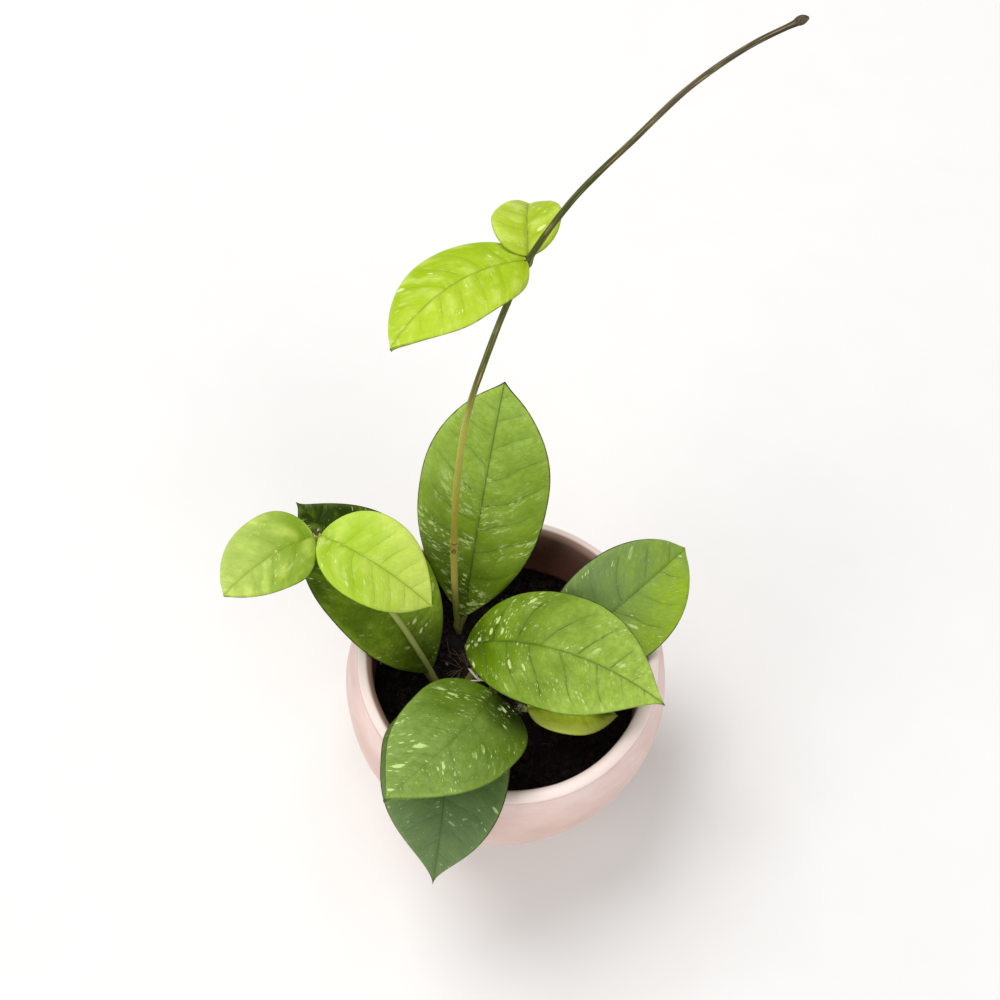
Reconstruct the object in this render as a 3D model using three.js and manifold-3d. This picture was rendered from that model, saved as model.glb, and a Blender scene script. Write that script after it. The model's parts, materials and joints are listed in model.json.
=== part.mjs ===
// A potted hoya: a round ceramic planter, its soil, four stems and eleven leaves.
// Millimetres, +Z up, with the origin at the middle of the pot's flat base.
// The plant leans and spreads as it grew. Its front is the -Y side, where a leaf hangs over the rim.
import * as THREE from "three";
import { mergeVertices } from "three/addons/utils/BufferGeometryUtils.js";
import Module from "manifold-3d";

const wasm = await Module();
wasm.setup();

const { degToRad } = THREE.MathUtils;

// The planter: a bulging bowl with a thick rolled rim and a flat base.
const POT_HEIGHT = 80;
const FOOT_RADIUS = 30;
const BELLY_RADIUS = 52.5;
const BELLY_HEIGHT = 57;
const OPENING_RADIUS = 43.5;
const LIP_RADIUS = 2.4;
const FLOOR_THICKNESS = 7;
const FOOT_CHAMFER = 1.2;
const POT_SIDES = 48;
const OUTSIDE_STEPS = 10;
const INSIDE_STEPS = 8;
const LIP_STEPS = 6;

// The soil lies 28 mm under the rim, and each stem stands in a plain hole in it.
const SOIL_HEIGHT = 52;
const SOIL_RINGS = 9;
const SOIL_SIDES = 36;
const CRUMB_HEIGHT = 0.9;
const STEM_DEPTH = 14;

// Pieces that touch keep this much room between them.
const CLEARANCE = 0.3;

// Blades are thickest along the midrib and thin towards the margin.
const BLADE_MIDDLE = 1.1;
const BLADE_EDGE = 0.7;
const TIP_HALF_WIDTH = 0.35;
const BASE_HALF_WIDTH = 1.2;

// A petiole runs on for some way under the midrib, set a little into the blade.
const PETIOLE_RADIUS = 1.4;
const YOUNG_PETIOLE_RADIUS = 1.05;
const VINE_PETIOLE_RADIUS = 0.8;
const PETIOLE_RUN = 5;
const PETIOLE_DROP = 0.9;

// Stems are eight-sided rods that thin towards their tips, with a swelling at each node.
const STEM_SIDES = 8;
const PETIOLE_SIDES = 6;

// Each stem is a smooth run through these points, from its foot in the soil to its tip.
// A node is a ball: its middle and its radius.
const VINE = {
  radius: 1.25,
  tipRadius: 0.6,
  points: [
    [-16, 14, SOIL_HEIGHT - STEM_DEPTH],
    [-17.3, 17, 53],
    [-19.4, 23, 73],
    [-20.6, 28.5, 97],
    [-20.6, 34.5, 130],
    [-18.6, 39, 160],
    [-14.9, 42.5, 181],
    [-10.5, 46.5, 201],
    [-6.5, 49.5, 215],
    [2, 51.5, 236],
    [7.7, 52.5, 246.3],
    [13.6, 54, 255],
    [24.1, 57.1, 270],
    [34.7, 60.4, 279.5],
    [44.5, 64.7, 283.5],
  ],
  nodes: [
    [-17.5, 17.6, 55.5, 1.75],
    [-20.6, 28.5, 97, 1.6],
    [-6.5, 49.5, 215, 1.5],
    [43.8, 64.4, 283.3, 0.85],
  ],
};
const SHOOT = {
  radius: 1.05,
  tipRadius: 0.9,
  points: [
    [-18.5, -8, SOIL_HEIGHT - STEM_DEPTH],
    [-21.5, -4.5, 52],
    [-23.5, -2.5, 58],
    [-30.5, 3, 72],
    [-37.5, 7.5, 85],
    [-49.5, 13.5, 103],
    [-61, 17, 119],
  ],
  nodes: [
    [-22.3, -3.7, 54.5, 1.45],
    [-60.4, 16.8, 118.2, 1.45],
  ],
};
const MIDDLE_STEM = {
  radius: 1.25,
  tipRadius: 1.15,
  points: [
    [-8, 4, SOIL_HEIGHT - STEM_DEPTH],
    [-9, 3, 54],
    [-10, 2.5, 62],
    [-10.5, 2, 70],
  ],
  nodes: [
    [-9.5, 2.8, 58, 1.75],
    [-10.3, 2.2, 67, 1.75],
  ],
};
const YOUNG_SHOOT = {
  radius: 0.95,
  tipRadius: 0.85,
  points: [
    [1, -7, SOIL_HEIGHT - STEM_DEPTH],
    [3, -10, 54],
    [5, -12.5, 62],
    [5.5, -14.5, 72],
  ],
  nodes: [
    [5.4, -13.6, 68, 1.3],
    [5.5, -14.4, 71.5, 1.3],
  ],
};

// A leaf starts at the base of its blade. heading turns from +X towards +Y, and pitch lifts it.
// Over its length the blade droops, sweeps to the left and twists by the degrees given.
// fold lifts both halves off the midrib. widest is the share of the length where it is broadest.
// The petiole runs from its stem through any bends to the blade.
// round, belly and taper shape its outline: towards the base, past the widest place and at the tip.
const MATURE = {
  look: "mature",
  rows: 14,
  columns: 6,
  widest: 0.48,
  round: 0.6,
  belly: 2.5,
  taper: 1.4,
  petioleRadius: PETIOLE_RADIUS,
};
const YOUNG = {
  look: "young",
  rows: 11,
  columns: 6,
  widest: 0.42,
  round: 0.58,
  belly: 2.3,
  taper: 1.2,
  petioleRadius: YOUNG_PETIOLE_RADIUS,
};
const LEAVES = {
  leaf_back: {
    ...MATURE,
    base: [-15.6, 18.5, 61.9],
    heading: 85.7,
    pitch: 58.6,
    roll: -1.3,
    length: 86.3,
    width: 41.2,
    droop: 5.3,
    sweep: -2.9,
    twist: -1.9,
    fold: 4.9,
    widest: 0.55,
    round: 0.91,
    taper: 0.96,
    belly: 2.53,
    petiole: [
      [-17.4, 17.4, 55],
      [-16.6, 17.6, 57.5],
    ],
  },
  leaf_left: {
    ...MATURE,
    base: [-25.1, -2, 60.4],
    heading: 131.6,
    pitch: 55.5,
    roll: 12.5,
    length: 73.3,
    width: 38,
    droop: 43.2,
    sweep: 5.8,
    twist: -4.4,
    fold: 14.1,
    round: 0.93,
    widest: 0.54,
    taper: 1.25,
    belly: 2.4,
    petiole: [
      [-22.3, -3.7, 54.5],
      [-24, -2.8, 57],
    ],
  },
  leaf_right_back: {
    ...MATURE,
    base: [16.2, 3.1, 72.5],
    heading: 34,
    pitch: 43.3,
    roll: 22.7,
    length: 56.1,
    width: 34.9,
    droop: 53.7,
    sweep: -3.7,
    twist: 3.2,
    fold: 14.8,
    taper: 0.79,
    widest: 0.46,
    belly: 2.02,
    round: 0.59,
    petiole: [
      [-9.5, 2.8, 58],
      [-2, 2, 61],
      [8, 1.5, 67],
    ],
  },
  leaf_right_front: {
    ...MATURE,
    base: [-13.7, 0.9, 81],
    heading: 1.2,
    pitch: 43.7,
    roll: -2.6,
    length: 69.2,
    width: 37.7,
    droop: 59,
    sweep: -30.6,
    twist: 1.7,
    fold: -1,
    round: 0.55,
    taper: 1.4,
    belly: 2.33,
    widest: 0.48,
    petiole: [
      [-10.3, 2.2, 67],
      [-11.5, 1.8, 72.5],
      [-12.6, 1.4, 77],
    ],
  },
  leaf_front: {
    ...MATURE,
    base: [-3.5, -15, 83.5],
    heading: 249.9,
    pitch: 36.3,
    roll: -12.9,
    length: 55,
    width: 36.5,
    droop: 28.6,
    sweep: -23.1,
    twist: 28.6,
    fold: 1.8,
    widest: 0.35,
    round: 0.43,
    taper: 1.44,
    belly: 3.3,
    petiole: [
      [-10.3, 2.2, 67],
      [-7.5, -3, 71],
      [-4.5, -8.8, 76.5],
    ],
  },
  leaf_hanging: {
    ...MATURE,
    base: [-18.7, -12.1, 72.3],
    heading: 281.6,
    pitch: 47.3,
    roll: 2,
    length: 67.6,
    width: 39.4,
    droop: 101.2,
    sweep: -25.5,
    twist: 4.7,
    fold: 8,
    widest: 0.38,
    taper: 1.93,
    belly: 3.02,
    round: 0.95,
    petiole: [
      [-9.5, 2.8, 58],
      [-11.5, -3, 63],
      [-13, -8, 68.5],
    ],
  },
  leaf_young: {
    ...YOUNG,
    base: [7.5, -14.5, 71],
    heading: 7,
    pitch: 11,
    roll: -4,
    length: 32,
    width: 18.5,
    droop: 49,
    sweep: 2,
    twist: 0,
    fold: 7,
    petiole: [[5.5, -14.4, 71]],
  },
  leaf_shoot_outer: {
    ...YOUNG,
    base: [-61.3, 15.7, 119],
    heading: 209.2,
    pitch: 9.4,
    roll: 1.4,
    length: 32,
    width: 26.2,
    droop: 16.6,
    sweep: 25.7,
    twist: 6.4,
    fold: 10,
    widest: 0.39,
    taper: 0.85,
    belly: 2.03,
    round: 0.58,
    petiole: [[-60.4, 16.8, 118.2]],
  },
  leaf_shoot_inner: {
    ...YOUNG,
    base: [-59.3, 16.2, 118.9],
    heading: 339.9,
    pitch: 7.5,
    roll: -0.1,
    length: 40.9,
    width: 27.8,
    droop: 52.2,
    sweep: -3.1,
    twist: 5.1,
    fold: 14.4,
    widest: 0.4,
    taper: 1.09,
    round: 0.59,
    belly: 2.24,
    petiole: [[-60.4, 16.8, 118.2]],
  },
  leaf_vine_left: {
    ...YOUNG,
    base: [-6.5, 48.8, 216.4],
    heading: 199.3,
    pitch: 13.9,
    roll: 13.2,
    length: 42.6,
    width: 27.5,
    droop: 41.1,
    sweep: 32.7,
    twist: 12.8,
    fold: -1.5,
    round: 0.47,
    taper: 0.99,
    widest: 0.45,
    belly: 2.37,
    petioleRadius: VINE_PETIOLE_RADIUS,
    petiole: [[-6.5, 49.5, 215]],
  },
  leaf_vine_back: {
    ...YOUNG,
    base: [-6.2, 50, 216.9],
    heading: 102.3,
    pitch: 23.3,
    roll: -11.6,
    length: 28.2,
    width: 17.4,
    droop: 85.8,
    sweep: -6.2,
    twist: 6.1,
    fold: 14,
    taper: 1.36,
    widest: 0.39,
    round: 0.52,
    belly: 1.67,
    petioleRadius: VINE_PETIOLE_RADIUS,
    petiole: [[-6.5, 49.5, 215]],
  },
};

// Turns a closed geometry into a solid that can be joined and cut.
function solidOf(geometry) {
  const g = geometry.clone();
  g.deleteAttribute("normal");
  g.deleteAttribute("uv");
  const merged = mergeVertices(g, 1e-4);
  return new wasm.Manifold(
    new wasm.Mesh({
      numProp: 3,
      vertProperties: new Float32Array(merged.attributes.position.array),
      triVerts: new Uint32Array(merged.index.array),
    }),
  );
}

// Turns a solid back into a geometry that a mesh can show.
function geometryOf(solid) {
  const { vertProperties, triVerts } = solid.getMesh();
  const geometry = new THREE.BufferGeometry();
  geometry.setAttribute("position", new THREE.BufferAttribute(vertProperties, 3));
  geometry.setIndex(new THREE.BufferAttribute(triVerts, 1));
  geometry.computeVertexNormals();
  return geometry;
}

function vectors(points) {
  return points.map((p) => new THREE.Vector3(...p));
}

// A round rod along a smooth curve through the points, in two rings for each of them.
// Its radius goes evenly from one end's to the other's.
function rod(points, radius, tipRadius, sides) {
  const path = new THREE.CatmullRomCurve3(vectors(points), false, "centripetal");
  const steps = 2 * points.length;
  const { normals, binormals } = path.computeFrenetFrames(steps);
  const positions = [];
  for (let i = 0; i <= steps; i++) {
    const size = THREE.MathUtils.lerp(radius, tipRadius, i / steps);
    for (let j = 0; j < sides; j++) {
      const angle = (2 * Math.PI * j) / sides;
      const p = path.getPointAt(i / steps);
      p.addScaledVector(normals[i], size * Math.cos(angle));
      p.addScaledVector(binormals[i], size * Math.sin(angle));
      positions.push(p.x, p.y, p.z);
    }
  }
  const geometry = new THREE.BufferGeometry();
  geometry.setAttribute("position", new THREE.Float32BufferAttribute(positions, 3));
  geometry.setIndex(rodFaces(steps, sides));
  return solidOf(geometry);
}

// The triangles round a rod, and those that close its two ends.
function rodFaces(steps, sides) {
  const index = [];
  for (let i = 0; i < steps; i++)
    for (let j = 0; j < sides; j++) {
      const a = i * sides + j;
      const b = i * sides + ((j + 1) % sides);
      index.push(a, b, b + sides, a, b + sides, a + sides);
    }
  const last = steps * sides;
  for (let j = 1; j < sides - 1; j++) {
    index.push(0, j + 1, j);
    index.push(last, last + j, last + j + 1);
  }
  return index;
}

function ball(centre, radius) {
  const geometry = new THREE.SphereGeometry(radius, STEM_SIDES, STEM_SIDES / 2 + 1);
  geometry.translate(...centre);
  return solidOf(geometry);
}

// A stem with its swollen nodes. grow widens it for the room that its neighbours keep.
function stem({ radius, tipRadius, points, nodes }, grow = 0) {
  let solid = rod(points, radius + grow, tipRadius + grow, STEM_SIDES);
  for (const [x, y, z, size] of nodes) solid = solid.add(ball([x, y, z], size + grow));
  return solid;
}

// The half-width of a blade, as a share of its greatest, at a share t of its length.
const BASE_CURVE = 2.2;
function bladeShare(t, { widest, round, belly, taper }) {
  if (t < widest) return (1 - ((widest - t) / widest) ** BASE_CURVE) ** round;
  return (1 - ((t - widest) / (1 - widest)) ** belly) ** taper;
}

// The rows of a blade: each has its middle point, its directions across and up, and its half-width.
function bladeRows(leaf) {
  const point = new THREE.Vector3(...leaf.base);
  const heading = degToRad(leaf.heading);
  const pitch = degToRad(leaf.pitch);
  const along = new THREE.Vector3(
    Math.cos(heading) * Math.cos(pitch),
    Math.sin(heading) * Math.cos(pitch),
    Math.sin(pitch),
  );
  const across = new THREE.Vector3(-Math.sin(heading), Math.cos(heading), 0);
  across.applyAxisAngle(along, degToRad(leaf.roll));
  const up = along.clone().cross(across);
  const rows = [];
  let before = 0;
  for (let i = 0; i <= leaf.rows; i++) {
    const t = (1 - Math.cos((Math.PI * i) / leaf.rows)) / 2;
    const step = t - before;
    const droop = degToRad(leaf.droop * step);
    along.applyAxisAngle(across, droop);
    up.applyAxisAngle(across, droop);
    const sweep = degToRad(leaf.sweep * step);
    along.applyAxisAngle(up, sweep);
    across.applyAxisAngle(up, sweep);
    const twist = degToRad(leaf.twist * step);
    across.applyAxisAngle(along, twist);
    up.applyAxisAngle(along, twist);
    point.addScaledVector(along, step * leaf.length);
    const least = t < 0.5 ? BASE_HALF_WIDTH : TIP_HALF_WIDTH;
    rows.push({
      point: point.clone(),
      across: across.clone(),
      up: up.clone(),
      halfWidth: Math.max(least, (leaf.width / 2) * bladeShare(t, leaf)),
    });
    before = t;
  }
  return rows;
}

// A closed blade: an upper and an under surface, split into triangles alike, joined round the margin.
function blade(leaf) {
  const rows = bladeRows(leaf);
  const columns = leaf.columns;
  const rise = Math.tan(degToRad(leaf.fold));
  const positions = [];
  for (const face of [1, -1])
    for (const { point, across, up, halfWidth } of rows)
      for (let j = 0; j <= columns; j++) {
        const share = (2 * j) / columns - 1;
        const offset = Math.abs(share) * halfWidth;
        const thickness = THREE.MathUtils.lerp(BLADE_MIDDLE, BLADE_EDGE, Math.abs(share));
        const p = point.clone();
        p.addScaledVector(across, share * halfWidth);
        p.addScaledVector(up, offset * rise + (face * thickness) / 2);
        positions.push(p.x, p.y, p.z);
      }
  const perRow = columns + 1;
  const under = rows.length * perRow;
  const index = [];
  const quad = (a, b, c, d) => index.push(a, b, c, a, c, d);
  for (let i = 0; i < rows.length - 1; i++)
    for (let j = 0; j < columns; j++) {
      const a = i * perRow + j;
      const b = a + perRow;
      quad(a, b, b + 1, a + 1);
      index.push(under + a, under + b + 1, under + b);
      index.push(under + a, under + a + 1, under + b + 1);
    }
  for (let i = 0; i < rows.length - 1; i++) {
    const right = i * perRow;
    const left = right + columns;
    quad(right, under + right, under + right + perRow, right + perRow);
    quad(left, left + perRow, under + left + perRow, under + left);
  }
  const last = (rows.length - 1) * perRow;
  for (let j = 0; j < columns; j++) {
    quad(j, j + 1, under + j + 1, under + j);
    quad(last + j, under + last + j, under + last + j + 1, last + j + 1);
  }
  const geometry = new THREE.BufferGeometry();
  geometry.setAttribute("position", new THREE.Float32BufferAttribute(positions, 3));
  geometry.setIndex(index);
  return solidOf(geometry);
}

// The petiole bends up from its stem and runs on under the midrib, where the blade grows out of it.
function petiole(leaf) {
  const first = bladeRows(leaf)[0];
  const along = first.across.clone().cross(first.up);
  const neck = first.point.clone().addScaledVector(first.up, -PETIOLE_DROP);
  const end = neck.clone().addScaledVector(along, PETIOLE_RUN);
  const points = [...leaf.petiole, neck.toArray(), end.toArray()];
  return rod(points, leaf.petioleRadius, leaf.petioleRadius, PETIOLE_SIDES);
}

// The outside of the pot, from its foot to its lip, in half a section.
function potOutside() {
  return new THREE.SplineCurve([
    new THREE.Vector2(FOOT_RADIUS + FOOT_CHAMFER, FOOT_CHAMFER),
    new THREE.Vector2(41, 13),
    new THREE.Vector2(49, 32),
    new THREE.Vector2(BELLY_RADIUS, BELLY_HEIGHT),
    new THREE.Vector2(50.8, 71),
    new THREE.Vector2(OPENING_RADIUS + 2 * LIP_RADIUS, POT_HEIGHT - LIP_RADIUS),
  ]);
}

// The inside of the pot, from its lip down to its floor. inset leaves room for the soil.
function potInside(inset = 0) {
  return new THREE.SplineCurve([
    new THREE.Vector2(OPENING_RADIUS - inset, POT_HEIGHT - LIP_RADIUS),
    new THREE.Vector2(OPENING_RADIUS - inset, 52),
    new THREE.Vector2(40 - inset, 28),
    new THREE.Vector2(32 - inset, 13 + inset),
    new THREE.Vector2(24, FLOOR_THICKNESS + inset),
  ]);
}

function pot() {
  const middle = OPENING_RADIUS + LIP_RADIUS;
  const lip = [];
  for (let i = 1; i < LIP_STEPS; i++) {
    const angle = (Math.PI * i) / LIP_STEPS;
    lip.push(
      new THREE.Vector2(
        middle + LIP_RADIUS * Math.cos(angle),
        POT_HEIGHT - LIP_RADIUS + LIP_RADIUS * Math.sin(angle),
      ),
    );
  }
  const profile = [
    new THREE.Vector2(0, 0),
    new THREE.Vector2(FOOT_RADIUS, 0),
    ...potOutside().getPoints(OUTSIDE_STEPS),
    ...lip,
    ...potInside().getPoints(INSIDE_STEPS),
    new THREE.Vector2(0, FLOOR_THICKNESS),
  ];
  return solidOf(lathe(profile, POT_SIDES));
}

// A turned body about +Z from a half section that runs up its outside from the axis.
function lathe(profile, sides) {
  const geometry = new THREE.LatheGeometry(profile, sides);
  geometry.rotateX(Math.PI / 2);
  return geometry;
}

// Crumbs and hollows of the soil's surface, from a few crossing waves.
function crumb(x, y) {
  const wide = Math.sin(0.31 * x + 0.12 * y) * Math.cos(0.27 * y - 0.15 * x);
  const fine = Math.sin(0.9 * x - 0.5 * y + 1) * Math.sin(0.8 * y + 0.4 * x);
  return CRUMB_HEIGHT * (0.6 * wide + 0.5 * fine);
}

// The soil fills the pot's inside, and its top is uneven.
function soil() {
  const inside = potInside(CLEARANCE).getPoints(INSIDE_STEPS);
  const wall = inside.filter((p) => p.y < SOIL_HEIGHT - CRUMB_HEIGHT);
  const edge = OPENING_RADIUS - CLEARANCE;
  const top = [];
  for (let i = 0; i < SOIL_RINGS; i++)
    top.push(new THREE.Vector2((edge * (SOIL_RINGS - i)) / SOIL_RINGS, SOIL_HEIGHT));
  const profile = [
    new THREE.Vector2(0, FLOOR_THICKNESS + CLEARANCE),
    ...wall.reverse(),
    ...top,
    new THREE.Vector2(0, SOIL_HEIGHT),
  ];
  const geometry = lathe(profile, SOIL_SIDES);
  const p = geometry.attributes.position;
  for (let i = 0; i < p.count; i++)
    if (p.getZ(i) > SOIL_HEIGHT - 0.01) p.setZ(i, SOIL_HEIGHT + crumb(p.getX(i), p.getY(i)));
  return solidOf(geometry);
}

const COLOURS = {
  pot: { color: 0xe9d2c8, roughness: 0.75 },
  soil: { color: 0x1d1613, roughness: 1 },
  vine: { color: 0x6b6339, roughness: 0.6 },
  mature: { color: 0x4f7a1f, roughness: 0.45 },
  young: { color: 0xa9c832, roughness: 0.45 },
};

function named(name, solid, look) {
  const material = new THREE.MeshStandardMaterial({ metalness: 0, ...COLOURS[look] });
  const mesh = new THREE.Mesh(geometryOf(solid), material);
  mesh.name = name;
  return mesh;
}

const STEMS = {
  vine_stem: VINE,
  left_shoot: SHOOT,
  middle_stem: MIDDLE_STEM,
  young_shoot: YOUNG_SHOOT,
};

const plant = new THREE.Group();
plant.add(named("pot", pot(), "pot"));

let bed = soil();
for (const spec of Object.values(STEMS)) bed = bed.subtract(stem(spec, CLEARANCE));
plant.add(named("soil", bed, "soil"));

for (const [name, spec] of Object.entries(STEMS)) plant.add(named(name, stem(spec), "vine"));

for (const [name, leaf] of Object.entries(LEAVES)) {
  let solid = blade(leaf).add(petiole(leaf));
  for (const spec of Object.values(STEMS)) solid = solid.subtract(stem(spec, CLEARANCE));
  plant.add(named(name, solid, leaf.look));
}

export default plant;
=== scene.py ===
# %% [markdown]
# # A potted hoya
# The real object is a small round planter, 105 mm wide, with a young hoya rooted in dark potting mix:
# four stems and eleven waxy leaves. A measured model of plain solids says where every piece stands.
# This lesson dresses each of those solids with a finer surface and a finish of its own.
# Shapes are written in millimetres, as they are measured, and turned into metres by one factor, MM.

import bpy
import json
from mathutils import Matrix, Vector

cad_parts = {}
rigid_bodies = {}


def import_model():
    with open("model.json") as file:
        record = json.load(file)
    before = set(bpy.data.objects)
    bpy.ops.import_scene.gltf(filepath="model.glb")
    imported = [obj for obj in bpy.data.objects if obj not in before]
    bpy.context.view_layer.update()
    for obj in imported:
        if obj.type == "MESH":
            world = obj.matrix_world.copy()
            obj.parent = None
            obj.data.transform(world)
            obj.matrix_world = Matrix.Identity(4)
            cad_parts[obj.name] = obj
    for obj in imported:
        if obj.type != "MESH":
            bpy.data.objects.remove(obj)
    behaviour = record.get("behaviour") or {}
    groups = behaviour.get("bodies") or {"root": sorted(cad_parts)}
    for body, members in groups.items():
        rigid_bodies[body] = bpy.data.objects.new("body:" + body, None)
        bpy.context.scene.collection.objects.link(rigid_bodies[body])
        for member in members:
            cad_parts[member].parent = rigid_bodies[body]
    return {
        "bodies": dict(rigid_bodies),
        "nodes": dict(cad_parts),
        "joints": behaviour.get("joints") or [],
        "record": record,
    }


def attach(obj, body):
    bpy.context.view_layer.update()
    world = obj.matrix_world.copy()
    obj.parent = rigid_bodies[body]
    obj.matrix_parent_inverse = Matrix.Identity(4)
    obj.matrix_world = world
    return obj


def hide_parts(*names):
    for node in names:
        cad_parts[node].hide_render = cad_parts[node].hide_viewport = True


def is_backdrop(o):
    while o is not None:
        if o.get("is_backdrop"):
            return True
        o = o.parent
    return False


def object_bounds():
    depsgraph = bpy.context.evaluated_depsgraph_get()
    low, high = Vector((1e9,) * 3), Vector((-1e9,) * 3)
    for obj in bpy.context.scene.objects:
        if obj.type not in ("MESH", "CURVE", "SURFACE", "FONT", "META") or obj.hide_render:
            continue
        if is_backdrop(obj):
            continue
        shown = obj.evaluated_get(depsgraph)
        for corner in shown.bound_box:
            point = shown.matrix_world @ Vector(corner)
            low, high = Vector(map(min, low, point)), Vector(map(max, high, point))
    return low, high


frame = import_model()
CAD_BOX = [list(corner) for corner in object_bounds()]
print("measured pieces:", len(frame["nodes"]), "box in metres:", CAD_BOX)

# %% [markdown]
# ## Ways of working
# Three ways of making cover the whole plant. The pot and the soil are turned: a disc is drawn out ring by
# ring, as clay is on a wheel. Stems, petioles, roots and leaves are sleeves: a flat grid is rolled up and
# its long edges are joined. A leaf is a sleeve pressed nearly flat, so its margin is round and closed.
# Small things, such as crumbs and buds, start as balls that are stretched or roughened.

# %% Helpers for picking and placing
import json
import math

import bpy
import numpy as np
from mathutils import Matrix, Vector, noise

MM = 0.001
MERGE = 1e-6


def pick(*pieces):
    """Leaves only these pieces selected, the first of them active."""
    bpy.ops.object.select_all(action="DESELECT")
    for piece in pieces:
        piece.select_set(True)
    bpy.context.view_layer.objects.active = pieces[0]


def started(name, add, **settings):
    """Adds a primitive, a lamp or a camera by its operator, with nothing else selected."""
    bpy.ops.object.select_all(action="DESELECT")
    add(**settings)
    piece = bpy.context.object
    piece.name = piece.data.name = name
    return piece


def spots(piece):
    """The piece's points as rows of x, y and z."""
    rows = np.empty(3 * len(piece.data.vertices), dtype=np.float32)
    piece.data.vertices.foreach_get("co", rows)
    return rows.reshape(-1, 3).astype(float)


def put(piece, rows):
    """Moves the piece's points to the rows."""
    piece.data.vertices.foreach_set("co", np.asarray(rows, dtype=np.float32).ravel())
    piece.data.update()


def mark(piece, name, values):
    """Keeps a number, or three, on each point of the piece for its finish to read."""
    kind, key = ("FLOAT", "value") if values.ndim == 1 else ("FLOAT_VECTOR", "vector")
    field = piece.data.attributes.new(name, kind, "POINT")
    field.data.foreach_set(key, np.asarray(values, dtype=np.float32).ravel())


print("picking and placing: ready")

# %% Helpers for closing, joining and handing over
def smooth(piece):
    """Shades the piece as one smooth surface."""
    pick(piece)
    bpy.ops.object.shade_smooth()
    return piece


def tidy(piece):
    """Joins points that meet, turns the faces outwards and shades them smooth."""
    pick(piece)
    bpy.ops.object.mode_set(mode="EDIT")
    bpy.ops.mesh.select_all(action="SELECT")
    bpy.ops.mesh.remove_doubles(threshold=MERGE)
    bpy.ops.mesh.normals_make_consistent(inside=False)
    bpy.ops.object.mode_set(mode="OBJECT")
    return smooth(piece)


def joined(name, pieces):
    """Makes one piece of many."""
    pick(*pieces)
    bpy.ops.object.join()
    made = bpy.context.object
    made.name = made.data.name = name
    return made


def hand_over(piece, slot, *nodes):
    """Sets the piece on the plant: it rides on the root and stands for the measured nodes."""
    pick(piece)
    bpy.ops.object.transform_apply(location=True, rotation=True, scale=True)
    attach(piece, "root")
    if nodes:
        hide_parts(*nodes)
    print(piece.name, "faces:", len(piece.data.polygons))
    return piece


print("closing, joining and handing over: ready")

# %% Helpers for turning and rolling
def turned(name, profile, sides):
    """A body of rotation, drawn out ring by ring from a disc, and closed at its middle."""
    radius, height = profile[0]
    disc = {"vertices": sides, "radius": radius * MM, "location": (0, 0, height * MM)}
    piece = started(name, bpy.ops.mesh.primitive_circle_add, fill_type="NGON", **disc)
    bpy.ops.object.mode_set(mode="EDIT")
    bpy.ops.mesh.select_mode(type="EDGE")
    bpy.ops.mesh.select_all(action="SELECT")
    for wider, higher in profile[1:]:
        rise = (0, 0, (higher - height) * MM)
        bpy.ops.mesh.extrude_edges_move(TRANSFORM_OT_translate={"value": rise})
        grow = wider / radius
        bpy.ops.transform.resize(value=(grow, grow, 1), center_override=(0, 0, higher * MM))
        radius, height = wider, higher
    bpy.ops.mesh.merge(type="CENTER")
    bpy.ops.object.mode_set(mode="OBJECT")
    bpy.ops.object.transform_apply(location=True, rotation=True, scale=True)
    return tidy(piece)


def sleeve(name, around, along, place):
    """A flat grid rolled into a sleeve. place gives points in millimetres and the fields to keep."""
    grid = {"x_subdivisions": around, "y_subdivisions": along, "size": 1}
    piece = started(name, bpy.ops.mesh.primitive_grid_add, **grid)
    flat = spots(piece)
    points, fields = place(flat[:, 0] + 0.5, flat[:, 1] + 0.5)
    put(piece, points * MM)
    for field, values in fields.items():
        mark(piece, field, values)
    return tidy(piece)


print("turning and rolling: ready")

# %% Helpers for curves and rods
CURVE_STEPS = 12


def curve_through(points, steps):
    """Evenly many places on a smooth curve through the points, with its corners kept soft."""
    p = np.asarray(points, dtype=float)
    p = np.vstack([2 * p[0] - p[1], p, 2 * p[-1] - p[-2]])
    found = []
    for i in range(len(p) - 3):
        a, b, c, d = p[i : i + 4]
        ta = 0.0
        tb = ta + np.linalg.norm(b - a) ** 0.5
        tc = tb + np.linalg.norm(c - b) ** 0.5
        td = tc + np.linalg.norm(d - c) ** 0.5
        for t in np.linspace(tb, tc, steps, endpoint=i == len(p) - 4):
            ab = a + (b - a) * (t - ta) / (tb - ta)
            bc = b + (c - b) * (t - tb) / (tc - tb)
            cd = c + (d - c) * (t - tc) / (td - tc)
            abc = ab + (bc - ab) * (t - ta) / (tc - ta)
            bcd = bc + (cd - bc) * (t - tb) / (td - tb)
            found.append(abc + (bcd - abc) * (t - tb) / (tc - tb))
    return np.array(found)


def evenly(line, shares):
    """Places on a line at shares of its length, and its full length."""
    gaps = np.linalg.norm(np.diff(line, axis=0), axis=1)
    way = np.concatenate([[0], np.cumsum(gaps)])
    at = shares * way[-1]
    return np.column_stack([np.interp(at, way, line[:, k]) for k in range(3)]), way[-1]


def side_ways(line):
    """Two directions square to the line at each of its places, turning as little as they can."""
    ahead = np.gradient(line, axis=0)
    ahead /= np.linalg.norm(ahead, axis=1)[:, None]
    start = np.cross(ahead[0], (0.3, -1, 0.2))
    out = [start / np.linalg.norm(start)]
    for way in ahead[1:]:
        side = out[-1] - way * (out[-1] @ way)
        out.append(side / np.linalg.norm(side))
    out = np.array(out)
    return out, np.cross(ahead, out)


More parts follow.
